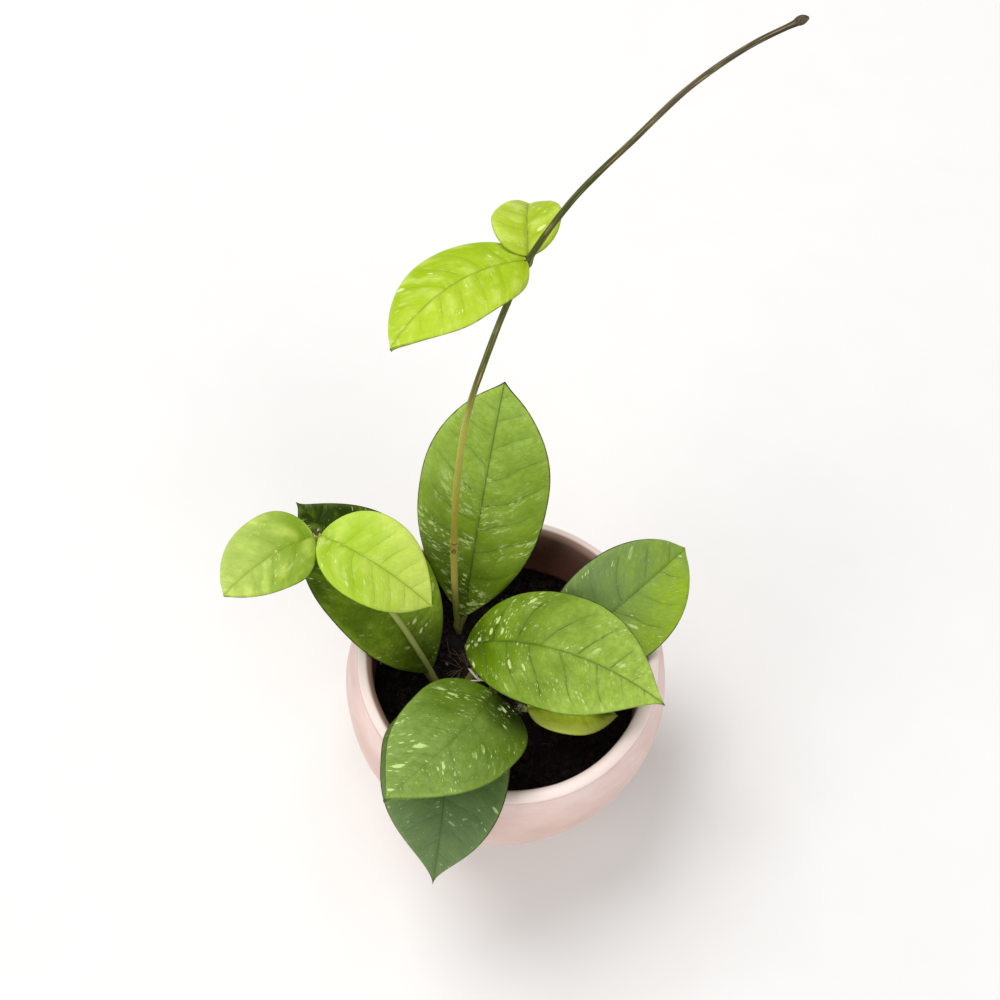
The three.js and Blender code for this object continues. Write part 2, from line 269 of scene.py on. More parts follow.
def rod(name, points, thickness, sides, rings):
    """A sleeve along a curve. thickness gives the radius at shares of its length."""
    shares = np.linspace(0, 1, rings + 1)
    middle, length = evenly(curve_through(points, CURVE_STEPS), shares)
    one, two = side_ways(middle)
    radius = thickness(shares, middle) * np.ones(rings + 1)

    def place(u, v):
        row = np.rint(v * rings).astype(int)
        angle = 2 * math.pi * u
        closed = np.where((row == 0) | (row == rings), 0.0, 1.0)
        reach = (radius[row] * closed)[:, None]
        around = one[row] * np.cos(angle)[:, None] + two[row] * np.sin(angle)[:, None]
        fields = {"way": np.column_stack([np.cos(angle), np.sin(angle), v * length])}
        return middle[row] + around * reach, fields

    return sleeve(name, sides, rings, place)


print("curves and rods: ready")

# %% [markdown]
# ## Finishes from nodes
# Every finish is built from nodes, so it stays sharp at any distance and needs no picture. A class keeps
# the lines short: each call adds one node and gives back its socket, which the next call may read.
# Colours are written as a screen shows them, from 0 to 255, and turned into light values here.


# %% A material built line by line
def tone(red, green, blue):
    """A screen colour as the light values that a shader reads."""
    shares = [value / 255 for value in (red, green, blue)]
    light = [s / 12.92 if s <= 0.04045 else ((s + 0.055) / 1.055) ** 2.4 for s in shares]
    return (*light, 1.0)


class Finish:
    """A material whose nodes are added one at a time."""

    def __init__(self, name):
        self.material = bpy.data.materials.new(name)
        self.material.use_nodes = True
        self.tree = self.material.node_tree
        self.shader = self.tree.nodes["Principled BSDF"]

    def add(self, kind, inputs, **settings):
        node = self.tree.nodes.new("ShaderNode" + kind)
        for key, value in settings.items():
            setattr(node, key, value)
        for socket, value in inputs.items():
            self.feed(node.inputs[socket], value)
        return node

    def feed(self, socket, value):
        if isinstance(value, bpy.types.NodeSocket):
            self.tree.links.new(value, socket)
        else:
            socket.default_value = value

    def math(self, operation, a, b=0.0, c=0.0):
        return self.add("Math", {0: a, 1: b, 2: c}, operation=operation).outputs[0]

    def times(self, a, b):
        return self.math("MULTIPLY", a, b)

    def times_plus(self, a, b, c):
        return self.math("MULTIPLY_ADD", a, b, c)

    def larger(self, a, b):
        return self.math("MAXIMUM", a, b)

    def fade(self, value, start, end, low=0.0, high=1.0):
        """Goes softly from low to high as the value goes from start to end."""
        inputs = {"Value": value, "From Min": start, "From Max": end, "To Min": low, "To Max": high}
        return self.add("MapRange", inputs, interpolation_type="SMOOTHSTEP").outputs[0]

    def mix(self, share, a, b):
        """Paints colour b over colour a, by its share."""
        return self.add("Mix", {0: share, 6: a, 7: b}, data_type="RGBA").outputs[2]

    def field(self, name):
        return self.add("Attribute", {}, attribute_name=name).outputs["Vector"]

    def place(self):
        return self.add("TexCoord", {}).outputs["Object"]

    def split(self, vector):
        return self.add("SeparateXYZ", {0: vector}).outputs

    def combine(self, x, y, z=0.0):
        return self.add("CombineXYZ", {0: x, 1: y, 2: z}).outputs[0]

    def stretched(self, vector, *scale):
        inputs = {0: vector, 1: scale}
        return self.add("VectorMath", inputs, operation="MULTIPLY").outputs[0]

    def clouds(self, vector, scale, detail=3.0, rough=0.5):
        """Soft noise between 0 and 1."""
        inputs = {"Vector": vector, "Scale": scale, "Detail": detail, "Roughness": rough}
        return self.add("TexNoise", inputs).outputs[0]

    def cells(self, vector, scale, feature="F1"):
        return self.add("TexVoronoi", {"Vector": vector, "Scale": scale}, feature=feature).outputs

    def relief(self, height, depth, strength):
        inputs = {"Height": height, "Distance": depth, "Strength": strength}
        self.feed(self.shader.inputs["Normal"], self.add("Bump", inputs).outputs[0])

    def surface(self, colour, roughness, **constants):
        self.feed(self.shader.inputs["Base Color"], colour)
        self.feed(self.shader.inputs["Roughness"], roughness)
        for key, value in constants.items():
            self.shader.inputs[key.replace("_", " ")].default_value = value
        return self.material


def wear(piece, material):
    piece.data.materials.clear()
    piece.data.materials.append(material)


print("finish class ready")

# %% [markdown]
# ## Camera, floor and light
# The plant was seen from above and in front, at arm's length, with the camera turned a little on its
# own axis. Daylight through a large window is close to even, so one broad lamp stands over the plant,
# two weaker ones fill from the sides, and a pale surround lights the rest. The floor is plain and pale.

# %% Camera
EYE = Vector((-7.5, -153.8, 479.2)) * MM
LOOK_DOWN = math.radians(62.5)
TURN = math.radians(5.5)
LENS = 48.42
SENSOR = 36

camera = started("window_side_camera", bpy.ops.object.camera_add, location=EYE)
camera.data.lens = LENS
camera.data.sensor_width = SENSOR
camera.data.clip_start = 0.01
right = Vector((1, 0, 0))
back = Vector((0, -math.cos(LOOK_DOWN), math.sin(LOOK_DOWN)))
up = back.cross(right)
axes = (
    right * math.cos(TURN) + up * math.sin(TURN),
    up * math.cos(TURN) - right * math.sin(TURN),
    back,
)
camera.matrix_world = Matrix.Translation(EYE) @ Matrix(axes).transposed().to_4x4()
bpy.context.scene.camera = camera
print("camera at", tuple(round(c, 4) for c in EYE))

# %% Floor and light
FLOOR_WIDTH = 6.0
FLOOR_DROP = 0.0002
AIM = Vector((0, 0, 0.1))
ROOM_LIGHT = 0.46

level = (0, 0, -FLOOR_DROP)
floor = started("pale_floor", bpy.ops.mesh.primitive_plane_add, size=FLOOR_WIDTH, location=level)
paper = Finish("pale_paper")
grain = paper.clouds(paper.place(), 40.0)
wear(floor, paper.surface(paper.mix(grain, tone(236, 235, 233), tone(240, 239, 237)), 0.9))
floor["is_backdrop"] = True


def lamp(name, place, size, power):
    """A round soft lamp that looks at the plant."""
    light = started(name, bpy.ops.object.light_add, type="AREA", location=place)
    light.data.shape = "DISK"
    light.data.size = size
    light.data.energy = power
    light.rotation_euler = (AIM - Vector(place)).to_track_quat("-Z", "Y").to_euler()


lamp("ceiling_window", (-1.2, 1.0, 3.0), 2.0, 69.0)
lamp("left_fill", (-2.4, -1.6, 1.7), 2.0, 26.0)
lamp("front_fill", (1.8, -2.4, 2.2), 2.4, 30.0)
world = bpy.data.worlds.new("pale_room")
world.use_nodes = True
sky = world.node_tree.nodes["Background"].inputs
sky["Color"].default_value = (1.0, 1.0, 1.0, 1.0)
sky["Strength"].default_value = ROOM_LIGHT
bpy.context.scene.world = world
bpy.context.scene.view_settings.view_transform = "Standard"

# %% [markdown]
# ## The pot
# The planter bulges like an apple cut off at the top. Its wall is about 7 mm thick and ends in a thick
# rolled rim, with a fine crease round the outside of the lip where the brush stopped. Turning suits it
# best, as it was thrown or cast round: rings are drawn out from the base disc, up the outside, over the
# lip and down the inside. A round of subdivision takes away the facets.

# %% Pot shape
POT_HEIGHT = 80
FOOT_RADIUS = 30
LIP_RADIUS = 2.4
OPENING_RADIUS = 43.5
CREASE_DEPTH = 0.22
CREASE_WIDTH = 0.32
CREASE_HEIGHT = 78.5
POT_SIDES = 96
LIP_STEPS = 24
FOOT = [(24, 0), (FOOT_RADIUS - 0.6, 0), (FOOT_RADIUS + 0.3, 0.25)]
OUTSIDE = [(31.2, 1.2), (41, 13), (49, 32), (52.5, 57), (50.8, 71), (48.3, 77.6)]
INSIDE = [(43.5, 77.6), (43.5, 52), (40, 28), (32, 13), (24, 7)]
INSIDE_FLOOR = [(16, 7), (6, 7)]


def profile_through(points, steps):
    """A half section through the points, as pairs of radius and height."""
    line = curve_through([(r, 0, z) for r, z in points], steps)
    return [(float(r), float(z)) for r, _, z in line]


def lip(steps):
    """The rolled rim, from its outside over the top to its inside."""
    middle = OPENING_RADIUS + LIP_RADIUS
    top = POT_HEIGHT - LIP_RADIUS
    angles = [math.pi * i / steps for i in range(1, steps)]
    return [(middle + LIP_RADIUS * math.cos(a), top + LIP_RADIUS * math.sin(a)) for a in angles]


def creased(profile):
    """Presses a fine line into the outside of the lip."""
    pressed = []
    for r, z in profile:
        away = (z - CREASE_HEIGHT) / CREASE_WIDTH
        pressed.append((r - CREASE_DEPTH * math.exp(-(away**2)), z))
    return pressed


outside = profile_through(OUTSIDE[:-1], 9) + profile_through(OUTSIDE[-2:], 14)[1:]
rolled = lip(LIP_STEPS)
outer_lip = LIP_STEPS // 2 - 1
pot_profile = FOOT + creased(outside + rolled[:outer_lip]) + rolled[outer_lip:]
pot_profile += profile_through(INSIDE, 8) + INSIDE_FLOOR
pot = turned("blush_pot", pot_profile, POT_SIDES)
print("rings in the pot:", len(pot_profile))

# %% Pot wall
WALL_RADIUS = 50
FLAT_FOOT = 3
WAVER = ((0.045, 0.35), (0.16, 0.1))

finer = pot.modifiers.new("finer", "SUBSURF")
finer.levels = finer.render_levels = 1
pick(pot)
bpy.ops.object.modifier_apply(modifier="finer")

# A hand-made wall is never quite true, so it wavers by a few tenths of a millimetre over its foot.
rows = spots(pot) / MM
for row in rows:
    swell = sum(noise.noise(Vector(row) * scale) * size for scale, size in WAVER)
    if row[2] > FLAT_FOOT:
        row[:2] *= 1 + swell / WALL_RADIUS
put(pot, rows * MM)
hand_over(smooth(pot), "pot_ceramic", "pot")

# %% [markdown]
# ## The pot's finish
# The clay is tinted blush pink and brushed over with thin whitewash in crossing strokes, so soft pale and
# pinker patches lie aslant round the wall. The top of the rim is painted paler as a highlight, the wall
# is painted darker lower down as shade, and a painted shade line lies in the crease. Below the rim the
# inside is painted darker brown as the shade within the pot.
# Strokes come from clouds that are squeezed in height along two tilted planes.

# %% Brushed blush glaze
glaze = Finish("brushed_blush")
here = glaze.place()
x, y, z = glaze.split(here)
tilted = glaze.times_plus(x, 0.3, glaze.times_plus(y, 0.38, z))
crossing = glaze.times_plus(x, -0.22, glaze.times_plus(y, -0.3, z))


def brushed(plane, squeeze, scale, detail, rough):
    """Clouds squeezed along a tilted plane, like the strokes of a brush."""
    return glaze.clouds(glaze.combine(x, y, glaze.times(plane, squeeze)), scale, detail, rough)


drift = glaze.clouds(here, 18.0, 2.0)
patches = glaze.clouds(here, 45.0, 4.0, 0.6)
strokes = brushed(tilted, 1.8, 42.0, 3.0, 0.5)
washes = brushed(crossing, 2.0, 66.0, 4.0, 0.55)
fine = brushed(tilted, 4.5, 100.0, 4.0, 0.6)
COATS = (
    # clouds, where a coat begins and where it is full, how well it covers, its colour
    (patches, 0.45, 0.75, 0.24, tone(222, 184, 180)),
    (washes, 0.42, 0.74, 0.36, tone(246, 232, 226)),
    (fine, 0.48, 0.75, 0.2, tone(250, 240, 234)),
)
colour = glaze.mix(glaze.fade(strokes, 0.3, 0.7), tone(228, 194, 184), tone(238, 210, 202))
for clouds, begin, full, cover, coat in COATS:
    colour = glaze.mix(glaze.fade(clouds, begin, full, 0, cover), colour, coat)
print("coats on the pot:", len(COATS) + 1)

# %% Painted shade on the lower wall, painted highlight on the rim and painted shade in the crease
LOWER_SHADE = 0.084, 0.068
RIM_HIGHLIGHT_EDGE = 0.078, 0.0788
OUTER_LIP = 0.0465, 0.0475

edge = glaze.times_plus(drift, 0.0012, -0.0006)
# Painted shade: the wall is painted darker and warmer lower down, where shade falls on it.
lower_shade = glaze.fade(glaze.times_plus(patches, 0.02, z), *LOWER_SHADE, 0, 0.4)
colour = glaze.mix(lower_shade, colour, tone(204, 166, 150))
# Painted highlight: the top of the rim is painted paler, where the light falls on it.
rim = glaze.fade(glaze.math("ADD", z, edge), *RIM_HIGHLIGHT_EDGE)
colour = glaze.mix(glaze.times(rim, 0.7), colour, tone(254, 238, 231))
squares = glaze.math("ADD", glaze.math("POWER", x, 2.0), glaze.math("POWER", y, 2.0))
reach = glaze.math("SQRT", squares)
# Painted shade: a darker line is painted along the crease below the lip, as the shade in it.
from_crease = glaze.math("ABSOLUTE", glaze.math("SUBTRACT", z, CREASE_HEIGHT * MM))
line = glaze.fade(from_crease, 0.0005, 0.0001, 0, 0.5)
line = glaze.times(line, glaze.fade(drift, 0.3, 0.6, 0.4, 1.0))
line = glaze.times(line, glaze.fade(reach, *OUTER_LIP))
colour = glaze.mix(line, colour, tone(190, 142, 132))
print("crease at a height of", CREASE_HEIGHT, "mm")

# %% Painted shade inside, relief and gloss
INNER_SHADE_EDGE = 0.0457, 0.0447

# Painted shade: below the rim the inside is painted darker brown, darker further down, as the shade
# within the pot. Less is painted on the inner side that faces the lamp.
lit_inner_side = glaze.larger(glaze.math("SUBTRACT", x, y), 0.0)
inner = glaze.fade(glaze.times_plus(lit_inner_side, 0.028, glaze.math("ADD", reach, edge)), *INNER_SHADE_EDGE)
inner_shade = glaze.times(inner, glaze.fade(z, 0.03, 0.035))
inner_shade_brown = glaze.mix(glaze.fade(z, 0.062, 0.079), tone(144, 86, 74), tone(146, 106, 92))
inner_shade_brown = glaze.mix(glaze.fade(strokes, 0.4, 0.7, 0, 0.3), inner_shade_brown, tone(170, 130, 116))
colour = glaze.mix(glaze.times(inner_shade, 0.96), colour, inner_shade_brown)
pores = glaze.fade(glaze.cells(here, 900.0)["Distance"], 0.0, 0.35)
bumps = glaze.times_plus(fine, 0.5, glaze.times(strokes, 0.6))
glaze.relief(glaze.times_plus(pores, 0.12, bumps), 0.0003, 0.6)
matt = glaze.fade(fine, 0.3, 0.7, 0.48, 0.62)
wear(pot, glaze.surface(colour, matt, Coat_Weight=0.12, Coat_Roughness=0.3))
print("finish:", pot.active_material.name)

# %% [markdown]
# ## The soil
# The potting mix is near black: peat crumbs, bark chips and dry fibres, a few pale bits among them.
# One turned body fills the pot, and its top is pushed up and down by waves and noise. Loose crumbs,
# fibres and bits are laid on it, because a bump alone stays smooth from the side.

# %% Soil body
SOIL_HEIGHT = 52
SOIL_EDGE = 43.2
SOIL_RINGS = 42
SOIL_SIDES = 144
CRUMB_HEIGHT = 0.9
LUMPS = ((3, 0.35, 0.8), (9, 0.9, 0.6))


def soil_top(x, y):
    """How high the soil lies at a place, in millimetres."""
    wide = math.sin(0.31 * x + 0.12 * y) * math.cos(0.27 * y - 0.15 * x)
    crumbs = math.sin(0.9 * x - 0.5 * y + 1) * math.sin(0.8 * y + 0.4 * x)
    return SOIL_HEIGHT + CRUMB_HEIGHT * (0.6 * wide + 0.5 * crumbs)


soil_wall = [(24, 7.3), (31.7, 13.3), (39.7, 28), (SOIL_EDGE, 50.5)]
soil_profile = [(18, 7.3)] + profile_through(soil_wall, 4)
for ring in range(SOIL_RINGS - 1):
    soil_profile.append((SOIL_EDGE * (1 - (ring + 0.4) / SOIL_RINGS), SOIL_HEIGHT))
soil = turned("potting_soil", soil_profile, SOIL_SIDES)
rows = spots(soil) / MM
for row in rows:
    if row[2] > SOIL_HEIGHT - 0.01:
        x, y, _ = row
        lumps = sum(noise.noise(Vector((x, y, z)) * scale) * size for z, scale, size in LUMPS)
        row[2] = soil_top(x, y) + lumps
put(soil, rows * MM)
hand_over(soil, "soil", "soil")

# %% Balls and copies of them
ROUGH = 0.22
rng = np.random.default_rng(7)


def ball(name, radius, rounds):
    add = bpy.ops.mesh.primitive_ico_sphere_add
    return started(name, add, subdivisions=rounds, radius=radius)


def scattered(name, model, places):
    """One mesh of many copies of the model, each with its own matrix and a shade of its own."""
    base = spots(model)
    faces = np.array([list(face.vertices) for face in model.data.polygons])
    points, corners, shades = [], [], []
    for count, matrix in enumerate(places):
        turn = np.array(matrix.to_3x3())
        rough = 1 + ROUGH * rng.standard_normal(len(base))[:, None]
        points.append((base * rough) @ turn.T + np.array(matrix.translation))
        corners.append(faces + count * len(base))
        shades.append(np.full(len(base), rng.random()))
    mesh = bpy.data.meshes.new(name)
    mesh.from_pydata(np.vstack(points).tolist(), [], np.vstack(corners).tolist())
    bpy.data.objects.remove(model)
    piece = bpy.data.objects.new(name, mesh)
    bpy.context.scene.collection.objects.link(piece)
    mark(piece, "shade", np.concatenate(shades))
    return piece


print("rough copies: ready")

# %% Crumbs, chips and pale bits
LIFT = 0.2
TILT = 0.5
LOOSE = (
    # name, rounds of the ball, how many, smallest, largest, flatness and how far from the middle
    ("soil_crumbs", 1, 2200, 0.35, 1.5, 0.75, 41.5),
    ("bark_chips", 2, 60, 1.4, 3.2, 0.35, 39),
    ("pale_bits", 2, 9, 0.4, 0.8, 0.8, 40),
)


def anywhere(spread):
    """A place on the soil at random, with no part of its disc favoured."""
    radius = spread * math.sqrt(rng.random())
    angle = 2 * math.pi * rng.random()
    return radius * math.cos(angle), radius * math.sin(angle)


def laid(count, smallest, largest, flat, spread):
    """Matrices for things that lie on the soil, turned at random."""
    found = []
    for _ in range(count):
        x, y = anywhere(spread)
        size = smallest + (largest - smallest) * rng.random() ** 2
        place = Matrix.Translation(Vector((x, y, soil_top(x, y) + LIFT * size)) * MM)
        tilt = Matrix.Rotation(rng.normal(0, TILT), 4, "X")
        tilt = tilt @ Matrix.Rotation(rng.normal(0, TILT), 4, "Y")
        spin = Matrix.Rotation(2 * math.pi * rng.random(), 4, "Z")
        wide = size * (0.7 + 0.6 * rng.random())
        found.append(place @ tilt @ spin @ Matrix.Diagonal((wide, size, size * flat, 1)))
    return found


loose = {}
for name, rounds, *amounts in LOOSE:
    loose[name] = scattered(name, ball("grain", MM, rounds), laid(*amounts))
    hand_over(loose[name], "soil")

# %% [markdown]
# ## Fibres and rootlets
# Dry coir lies about in short bent threads, and a tuft of it stands by the foot of the vine. A white
# rootlet with a fork shows between the front leaves, and another curls under the left leaf. Each is a
# thin rod along a curve. The coir has few sides to a thread, because there are many threads.

# %% Threads on the soil
FIBRES = 46
FIBRE_SPREAD = 36
FIBRE_SIDES = 5
FIBRE_RINGS = 10
TUFT = (-13.5, 3.5, 53)
TUFT_FIBRES = 20


def even(radius):
    """A rod's thickness that thins at both ends."""
    return lambda share, middle: radius * np.clip(4 * np.minimum(share, 1 - share) + 0.25, 0, 1)


def thread(start, heading, length, bend, rise, radius):
    """A bent thread from a point, as a rod."""
    points = [np.array(start, dtype=float)]
    for step in range(4):
        angle = heading + bend * (step - 1.5) / 3
        way = np.array([math.cos(angle), math.sin(angle), rise * (1 - step / 2)])
        points.append(points[-1] + way * length / 4)
    return rod("thread", points, even(radius), FIBRE_SIDES, FIBRE_RINGS)


threads = []
for _ in range(FIBRES):
    x, y = anywhere(FIBRE_SPREAD)
    start = (x, y, soil_top(x, y) + 0.5)
    heading, bend = 2 * math.pi * rng.random(), rng.normal(0, 0.9)
    threads.append(thread(start, heading, 4 + 5 * rng.random(), bend, 0.1, 0.16))
for i in range(TUFT_FIBRES):
    heading = 2 * math.pi * (i + rng.random()) / TUFT_FIBRES
    start = np.array(TUFT) + (2 * rng.normal(0, 0.5), 2 * rng.normal(0, 0.5), 0)
    threads.append(thread(start, heading, 6 + 3 * rng.random(), rng.normal(0, 0.4), 0.45, 0.14))
fibres = hand_over(joined("coir_fibres", threads), "soil")

# %% White rootlets
ROOTLET_SIDES = 8
ROOTLETS = (
    # radius, rings and the points it runs through
    (0.38, 20, [(-12.4, -4.6, 75.4), (-10.9, -6.4, 76.6), (-9.2, -8.4, 77.6), (-6.9, -9.4, 78)]),
    (0.24, 16, [(-11.6, -9.2, 76.8), (-9.4, -9.3, 77.6), (-7.4, -9.2, 77.9)]),
    (0.18, 12, [(-9.4, -5.9, 76.6), (-9.4, -7.2, 77.1), (-8.9, -8.6, 77.6)]),
    (0.34, 16, [(-44.3, 3.3, 57), (-43.4, 3.2, 57.6), (-42.4, 2.4, 56.6), (-41.6, 1.5, 54)]),
)
roots = []
for radius, rings, points in ROOTLETS:
    roots.append(rod("root", points, even(radius), ROOTLET_SIDES, rings))
rootlets = hand_over(joined("white_rootlets", roots), "stem")

# %% Soil finishes


def crumble(piece, name, dark, light, pale):
    """Rough broken stuff in clumps of two colours, some of its grains paler."""
    finish = Finish(name)
    here = finish.place()
    shade = finish.split(finish.field("shade"))[0]
    clumps = finish.clouds(here, 420.0, 5.0, 0.65)
    colour = finish.mix(finish.fade(clumps, 0.35, 0.75), tone(*dark), tone(*light))
    colour = finish.mix(finish.fade(shade, 0.55, 1.0, 0, 0.6), colour, tone(*pale))
    finish.relief(finish.clouds(here, 1500.0, 4.0, 0.7), 0.0004, 0.9)
    wear(piece, finish.surface(colour, 0.95))


crumble(soil, "damp_peat", (13, 9, 8), (40, 29, 25), (52, 38, 32))
crumble(loose["soil_crumbs"], "peat_crumbs", (17, 12, 10), (44, 32, 27), (66, 49, 40))
crumble(loose["bark_chips"], "bark", (24, 14, 10), (64, 42, 32), (84, 58, 45))
crumble(loose["pale_bits"], "pale_grit", (150, 140, 128), (205, 198, 188), (215, 210, 200))
print("finishes for the soil and", len(loose), "loose things on it")

# %% Fibre and rootlet finishes


def stringy(piece, name, dark, light):
    """Streaks of two colours along a thread."""
    finish = Finish(name)
    way = finish.stretched(finish.field("way"), 1.0, 1.0, 0.6)
    streaks = finish.clouds(way, 1.4, 4.0, 0.6)
    finish.relief(streaks, 0.0001, 0.5)
    colour = finish.mix(finish.fade(streaks, 0.3, 0.7), tone(*dark), tone(*light))
    wear(piece, finish.surface(colour, 0.75))


stringy(fibres, "dry_coir", (58, 40, 32), (124, 98, 80))
stringy(rootlets, "white_root", (196, 190, 166), (240, 238, 224))
print("finishes for fibres and rootlets")

# %% [markdown]
# ## The stems
# A hoya's stem is a smooth cord, thicker where each pair of leaves sits. The long vine is 2.5 mm thick at
# its foot and thins to half of that at its blunt tip. Each stem is a rod along the measured curve, and a
# function widens it at its nodes, which are given by their place and their radius.

# %% Nodes that carry leaves or scars
VINE_SCARRED = (-20.6, 28.5, 97)
VINE_UPPER = (-6.5, 49.5, 215)
LEFT_LOWER = (-22.3, -3.7, 54.5)
LEFT_TOP = (-60.4, 16.8, 118.2)
MIDDLE_LOWER = (-9.5, 2.8, 58)
MIDDLE_UPPER = (-10.3, 2.2, 67)
print("the vine's upper node is at", VINE_UPPER)

# %% Stem shapes
STEMS = {
    "vine": {
        "node": "vine_stem",
        "radius": (1.25, 0.6),
        "points": [
            (-16, 14, 38), (-17.3, 17, 53), (-19.4, 23, 73), VINE_SCARRED, (-20.6, 34.5, 130),
            (-18.6, 39, 160), (-14.9, 42.5, 181), (-10.5, 46.5, 201), VINE_UPPER, (2, 51.5, 236),
            (7.7, 52.5, 246.3), (13.6, 54, 255), (24.1, 57.1, 270), (34.7, 60.4, 279.5),
            (44.5, 64.7, 283.5),
        ],
        "nodes": [
            (-17.5, 17.6, 55.5, 1.7), (*VINE_SCARRED, 1.45), (*VINE_UPPER, 1.4),
            (43.8, 64.4, 283.3, 0.8),
        ],
        "rings": 420,
    },
    "left_runner": {
        "node": "left_shoot",
        "radius": (1.05, 0.9),
        "points": [
            (-18.5, -8, 38), (-21.5, -4.5, 52), (-23.5, -2.5, 58), (-30.5, 3, 72), (-37.5, 7.5, 85),
            (-49.5, 13.5, 103), (-61, 17, 119),
        ],
        "nodes": [(*LEFT_LOWER, 1.4), (*LEFT_TOP, 1.4)],
        "rings": 180,
    },
    "middle_stalk": {
        "node": "middle_stem",
        "radius": (1.25, 1.15),
        "points": [(-8, 4, 38), (-9, 3, 54), (-10, 2.5, 62), (-10.5, 2, 70)],
        "nodes": [(*MIDDLE_LOWER, 1.7), (*MIDDLE_UPPER, 1.7)],
        "rings": 80,
    },
    "young_sprout": {
        "node": "young_shoot",
        "radius": (0.95, 0.85),
        "points": [(1, -7, 38), (3, -10, 54), (5, -12.5, 62), (5.5, -14.5, 72)],
        "nodes": [(5.4, -13.6, 68, 1.25), (5.5, -14.4, 71.5, 1.25)],
        "rings": 80,
    },
}
NODE_LENGTH = 1.7
STEM_SIDES = 20


def stem_thickness(spec):
    """Radius along a stem: an even taper, swellings at the nodes and slight unevenness."""
    foot, tip = spec["radius"]

    def radius(share, middle):
        size = foot + (tip - foot) * share
        for *node, swollen in spec["nodes"]:
            away = np.linalg.norm(middle - np.array(node), axis=1)
            size = size + (swollen - size) * np.exp(-((away / NODE_LENGTH) ** 2))
        return size * (1 + 0.025 * np.sin(41 * share) * np.sin(97 * share + 1))

    return radius


stems = {}
for name, spec in STEMS.items():
    made = rod(name, spec["points"], stem_thickness(spec), STEM_SIDES, spec["rings"])
    stems[name] = hand_over(made, "stem", spec["node"])

# %% [markdown]
# ## Scars, buds and bracts
# Where leaves have dropped, the vine keeps small oval scars with a raised rim, and dry pointed bracts
# sit at the nodes. The vine ends in a dark blunt bud, and the youngest shoot in a tuft of dry hairs.

# %% Leaf scars
TOWARDS_VIEW = (0.03, -0.43, 0.9)
SCAR_RING = {"major_segments": 40, "minor_segments": 14, "major_radius": 0.62, "minor_radius": 0.26}


def aimed(piece, rows, place, aim):
    """Sets the rows at a place in millimetres, with their upper end turned to aim."""
    turn = np.array(Vector(aim).to_track_quat("Z", "Y").to_matrix())
    put(piece, (rows @ turn.T + np.array(place)) * MM)
    return smooth(piece)


def scar(place, width, height):
    """The ring that a fallen leaf leaves."""
    ring = started("scar", bpy.ops.mesh.primitive_torus_add, **SCAR_RING)
    return aimed(ring, spots(ring) * (width, height, 1.0), place, TOWARDS_VIEW)


vine_scar = np.array(VINE_SCARRED) + np.array(TOWARDS_VIEW) * 1.35
scars = [scar(vine_scar, 1.15, 1.0), scar(vine_scar + (0.1, -1.6, -3.2), 0.9, 0.75)]
leaf_scars = hand_over(joined("leaf_scars", scars), "stem")

# %% Buds, bracts and the dry tip
DRY_TIP = (5.2, -14.4, 72.3)
HAIRS = 15


def bead(place, size, aim, sharp):
    """A ball stretched to size, its long way turned to aim, and drawn to a point if sharp."""
    piece = ball("bead", 1.0, 4)
    rows = spots(piece)
    rows[:, :2] *= 1 - sharp * np.clip(rows[:, 2:], 0, 1) ** 2
    return aimed(piece, rows * np.array(size), place, aim)


bracts = [
    # the middle of the scar, then the vine's bud, the left shoot's bracts and those on the vine
    bead(vine_scar, (0.55, 0.45, 0.3), TOWARDS_VIEW, 0.0),
    bead((44.3, 64.6, 283.5), (1.05, 1.0, 1.7), (0.9, 0.35, 0.25), 0.35),
    bead((44.6, 64.0, 284.0), (0.55, 0.4, 1.3), (0.8, -0.1, 0.5), 0.6),
    bead((-60.6, 16.6, 119.3), (0.8, 0.6, 1.5), (-0.2, -0.3, 1), 0.8),
    bead((-59.7, 17.3, 119.2), (0.6, 0.5, 1.4), (0.5, 0.5, 0.9), 0.8),
    bead((-61.2, 17.4, 119.1), (0.6, 0.5, 1.2), (-0.7, 0.4, 0.8), 0.8),
    bead((-6.9, 48.6, 216.3), (0.6, 0.5, 1.2), (-0.4, -0.7, 0.6), 0.8),
    bead((-5.9, 50.4, 216.4), (0.6, 0.5, 1.3), (0.3, 0.8, 0.6), 0.8),
]
dry_bracts = hand_over(joined("dry_bracts", bracts), "stem")
hairs = []
for _ in range(HAIRS):
    heading = 2.2 + 3.4 * rng.random()
    length, bend, rise = 1.6 + 1.6 * rng.random(), rng.normal(0, 0.8), rng.normal(0.5, 0.5)
    hairs.append(thread(DRY_TIP, heading, length, bend, rise, 0.11))
hairs.append(bead((4.9, -14.3, 72.4), (0.9, 0.8, 1.3), (-0.5, -0.2, 0.8), 0.5))
dry_tip = hand_over(joined("dry_shoot_tip", hairs), "stem")

# %% [markdown]
# ## Stem finishes
# The vine is tan and olive near the pot, with a pale streak, and darkens to olive brown as it climbs.
# Younger stems are paler green. Height sets the main colour, and clouds stretched along the stem draw
# the fibres in its skin.

# %% Skin of the stems
VINE_STEPS = (
    (45, (84, 94, 40)), (62, (142, 150, 62)), (80, (188, 180, 84)), (110, (168, 160, 58)),
    (150, (180, 176, 76)), (176, (84, 86, 30)), (225, (70, 76, 26)), (250, (66, 66, 34)),
    (268, (84, 76, 58)), (284, (58, 52, 38)),
)
RUNNER_STEPS = ((50, (106, 120, 62)), (64, (168, 178, 98)), (118, (180, 194, 106)))
STALK_STEPS = ((50, (70, 74, 38)), (70, (104, 112, 54)))
SPECK = tone(104, 74, 36)


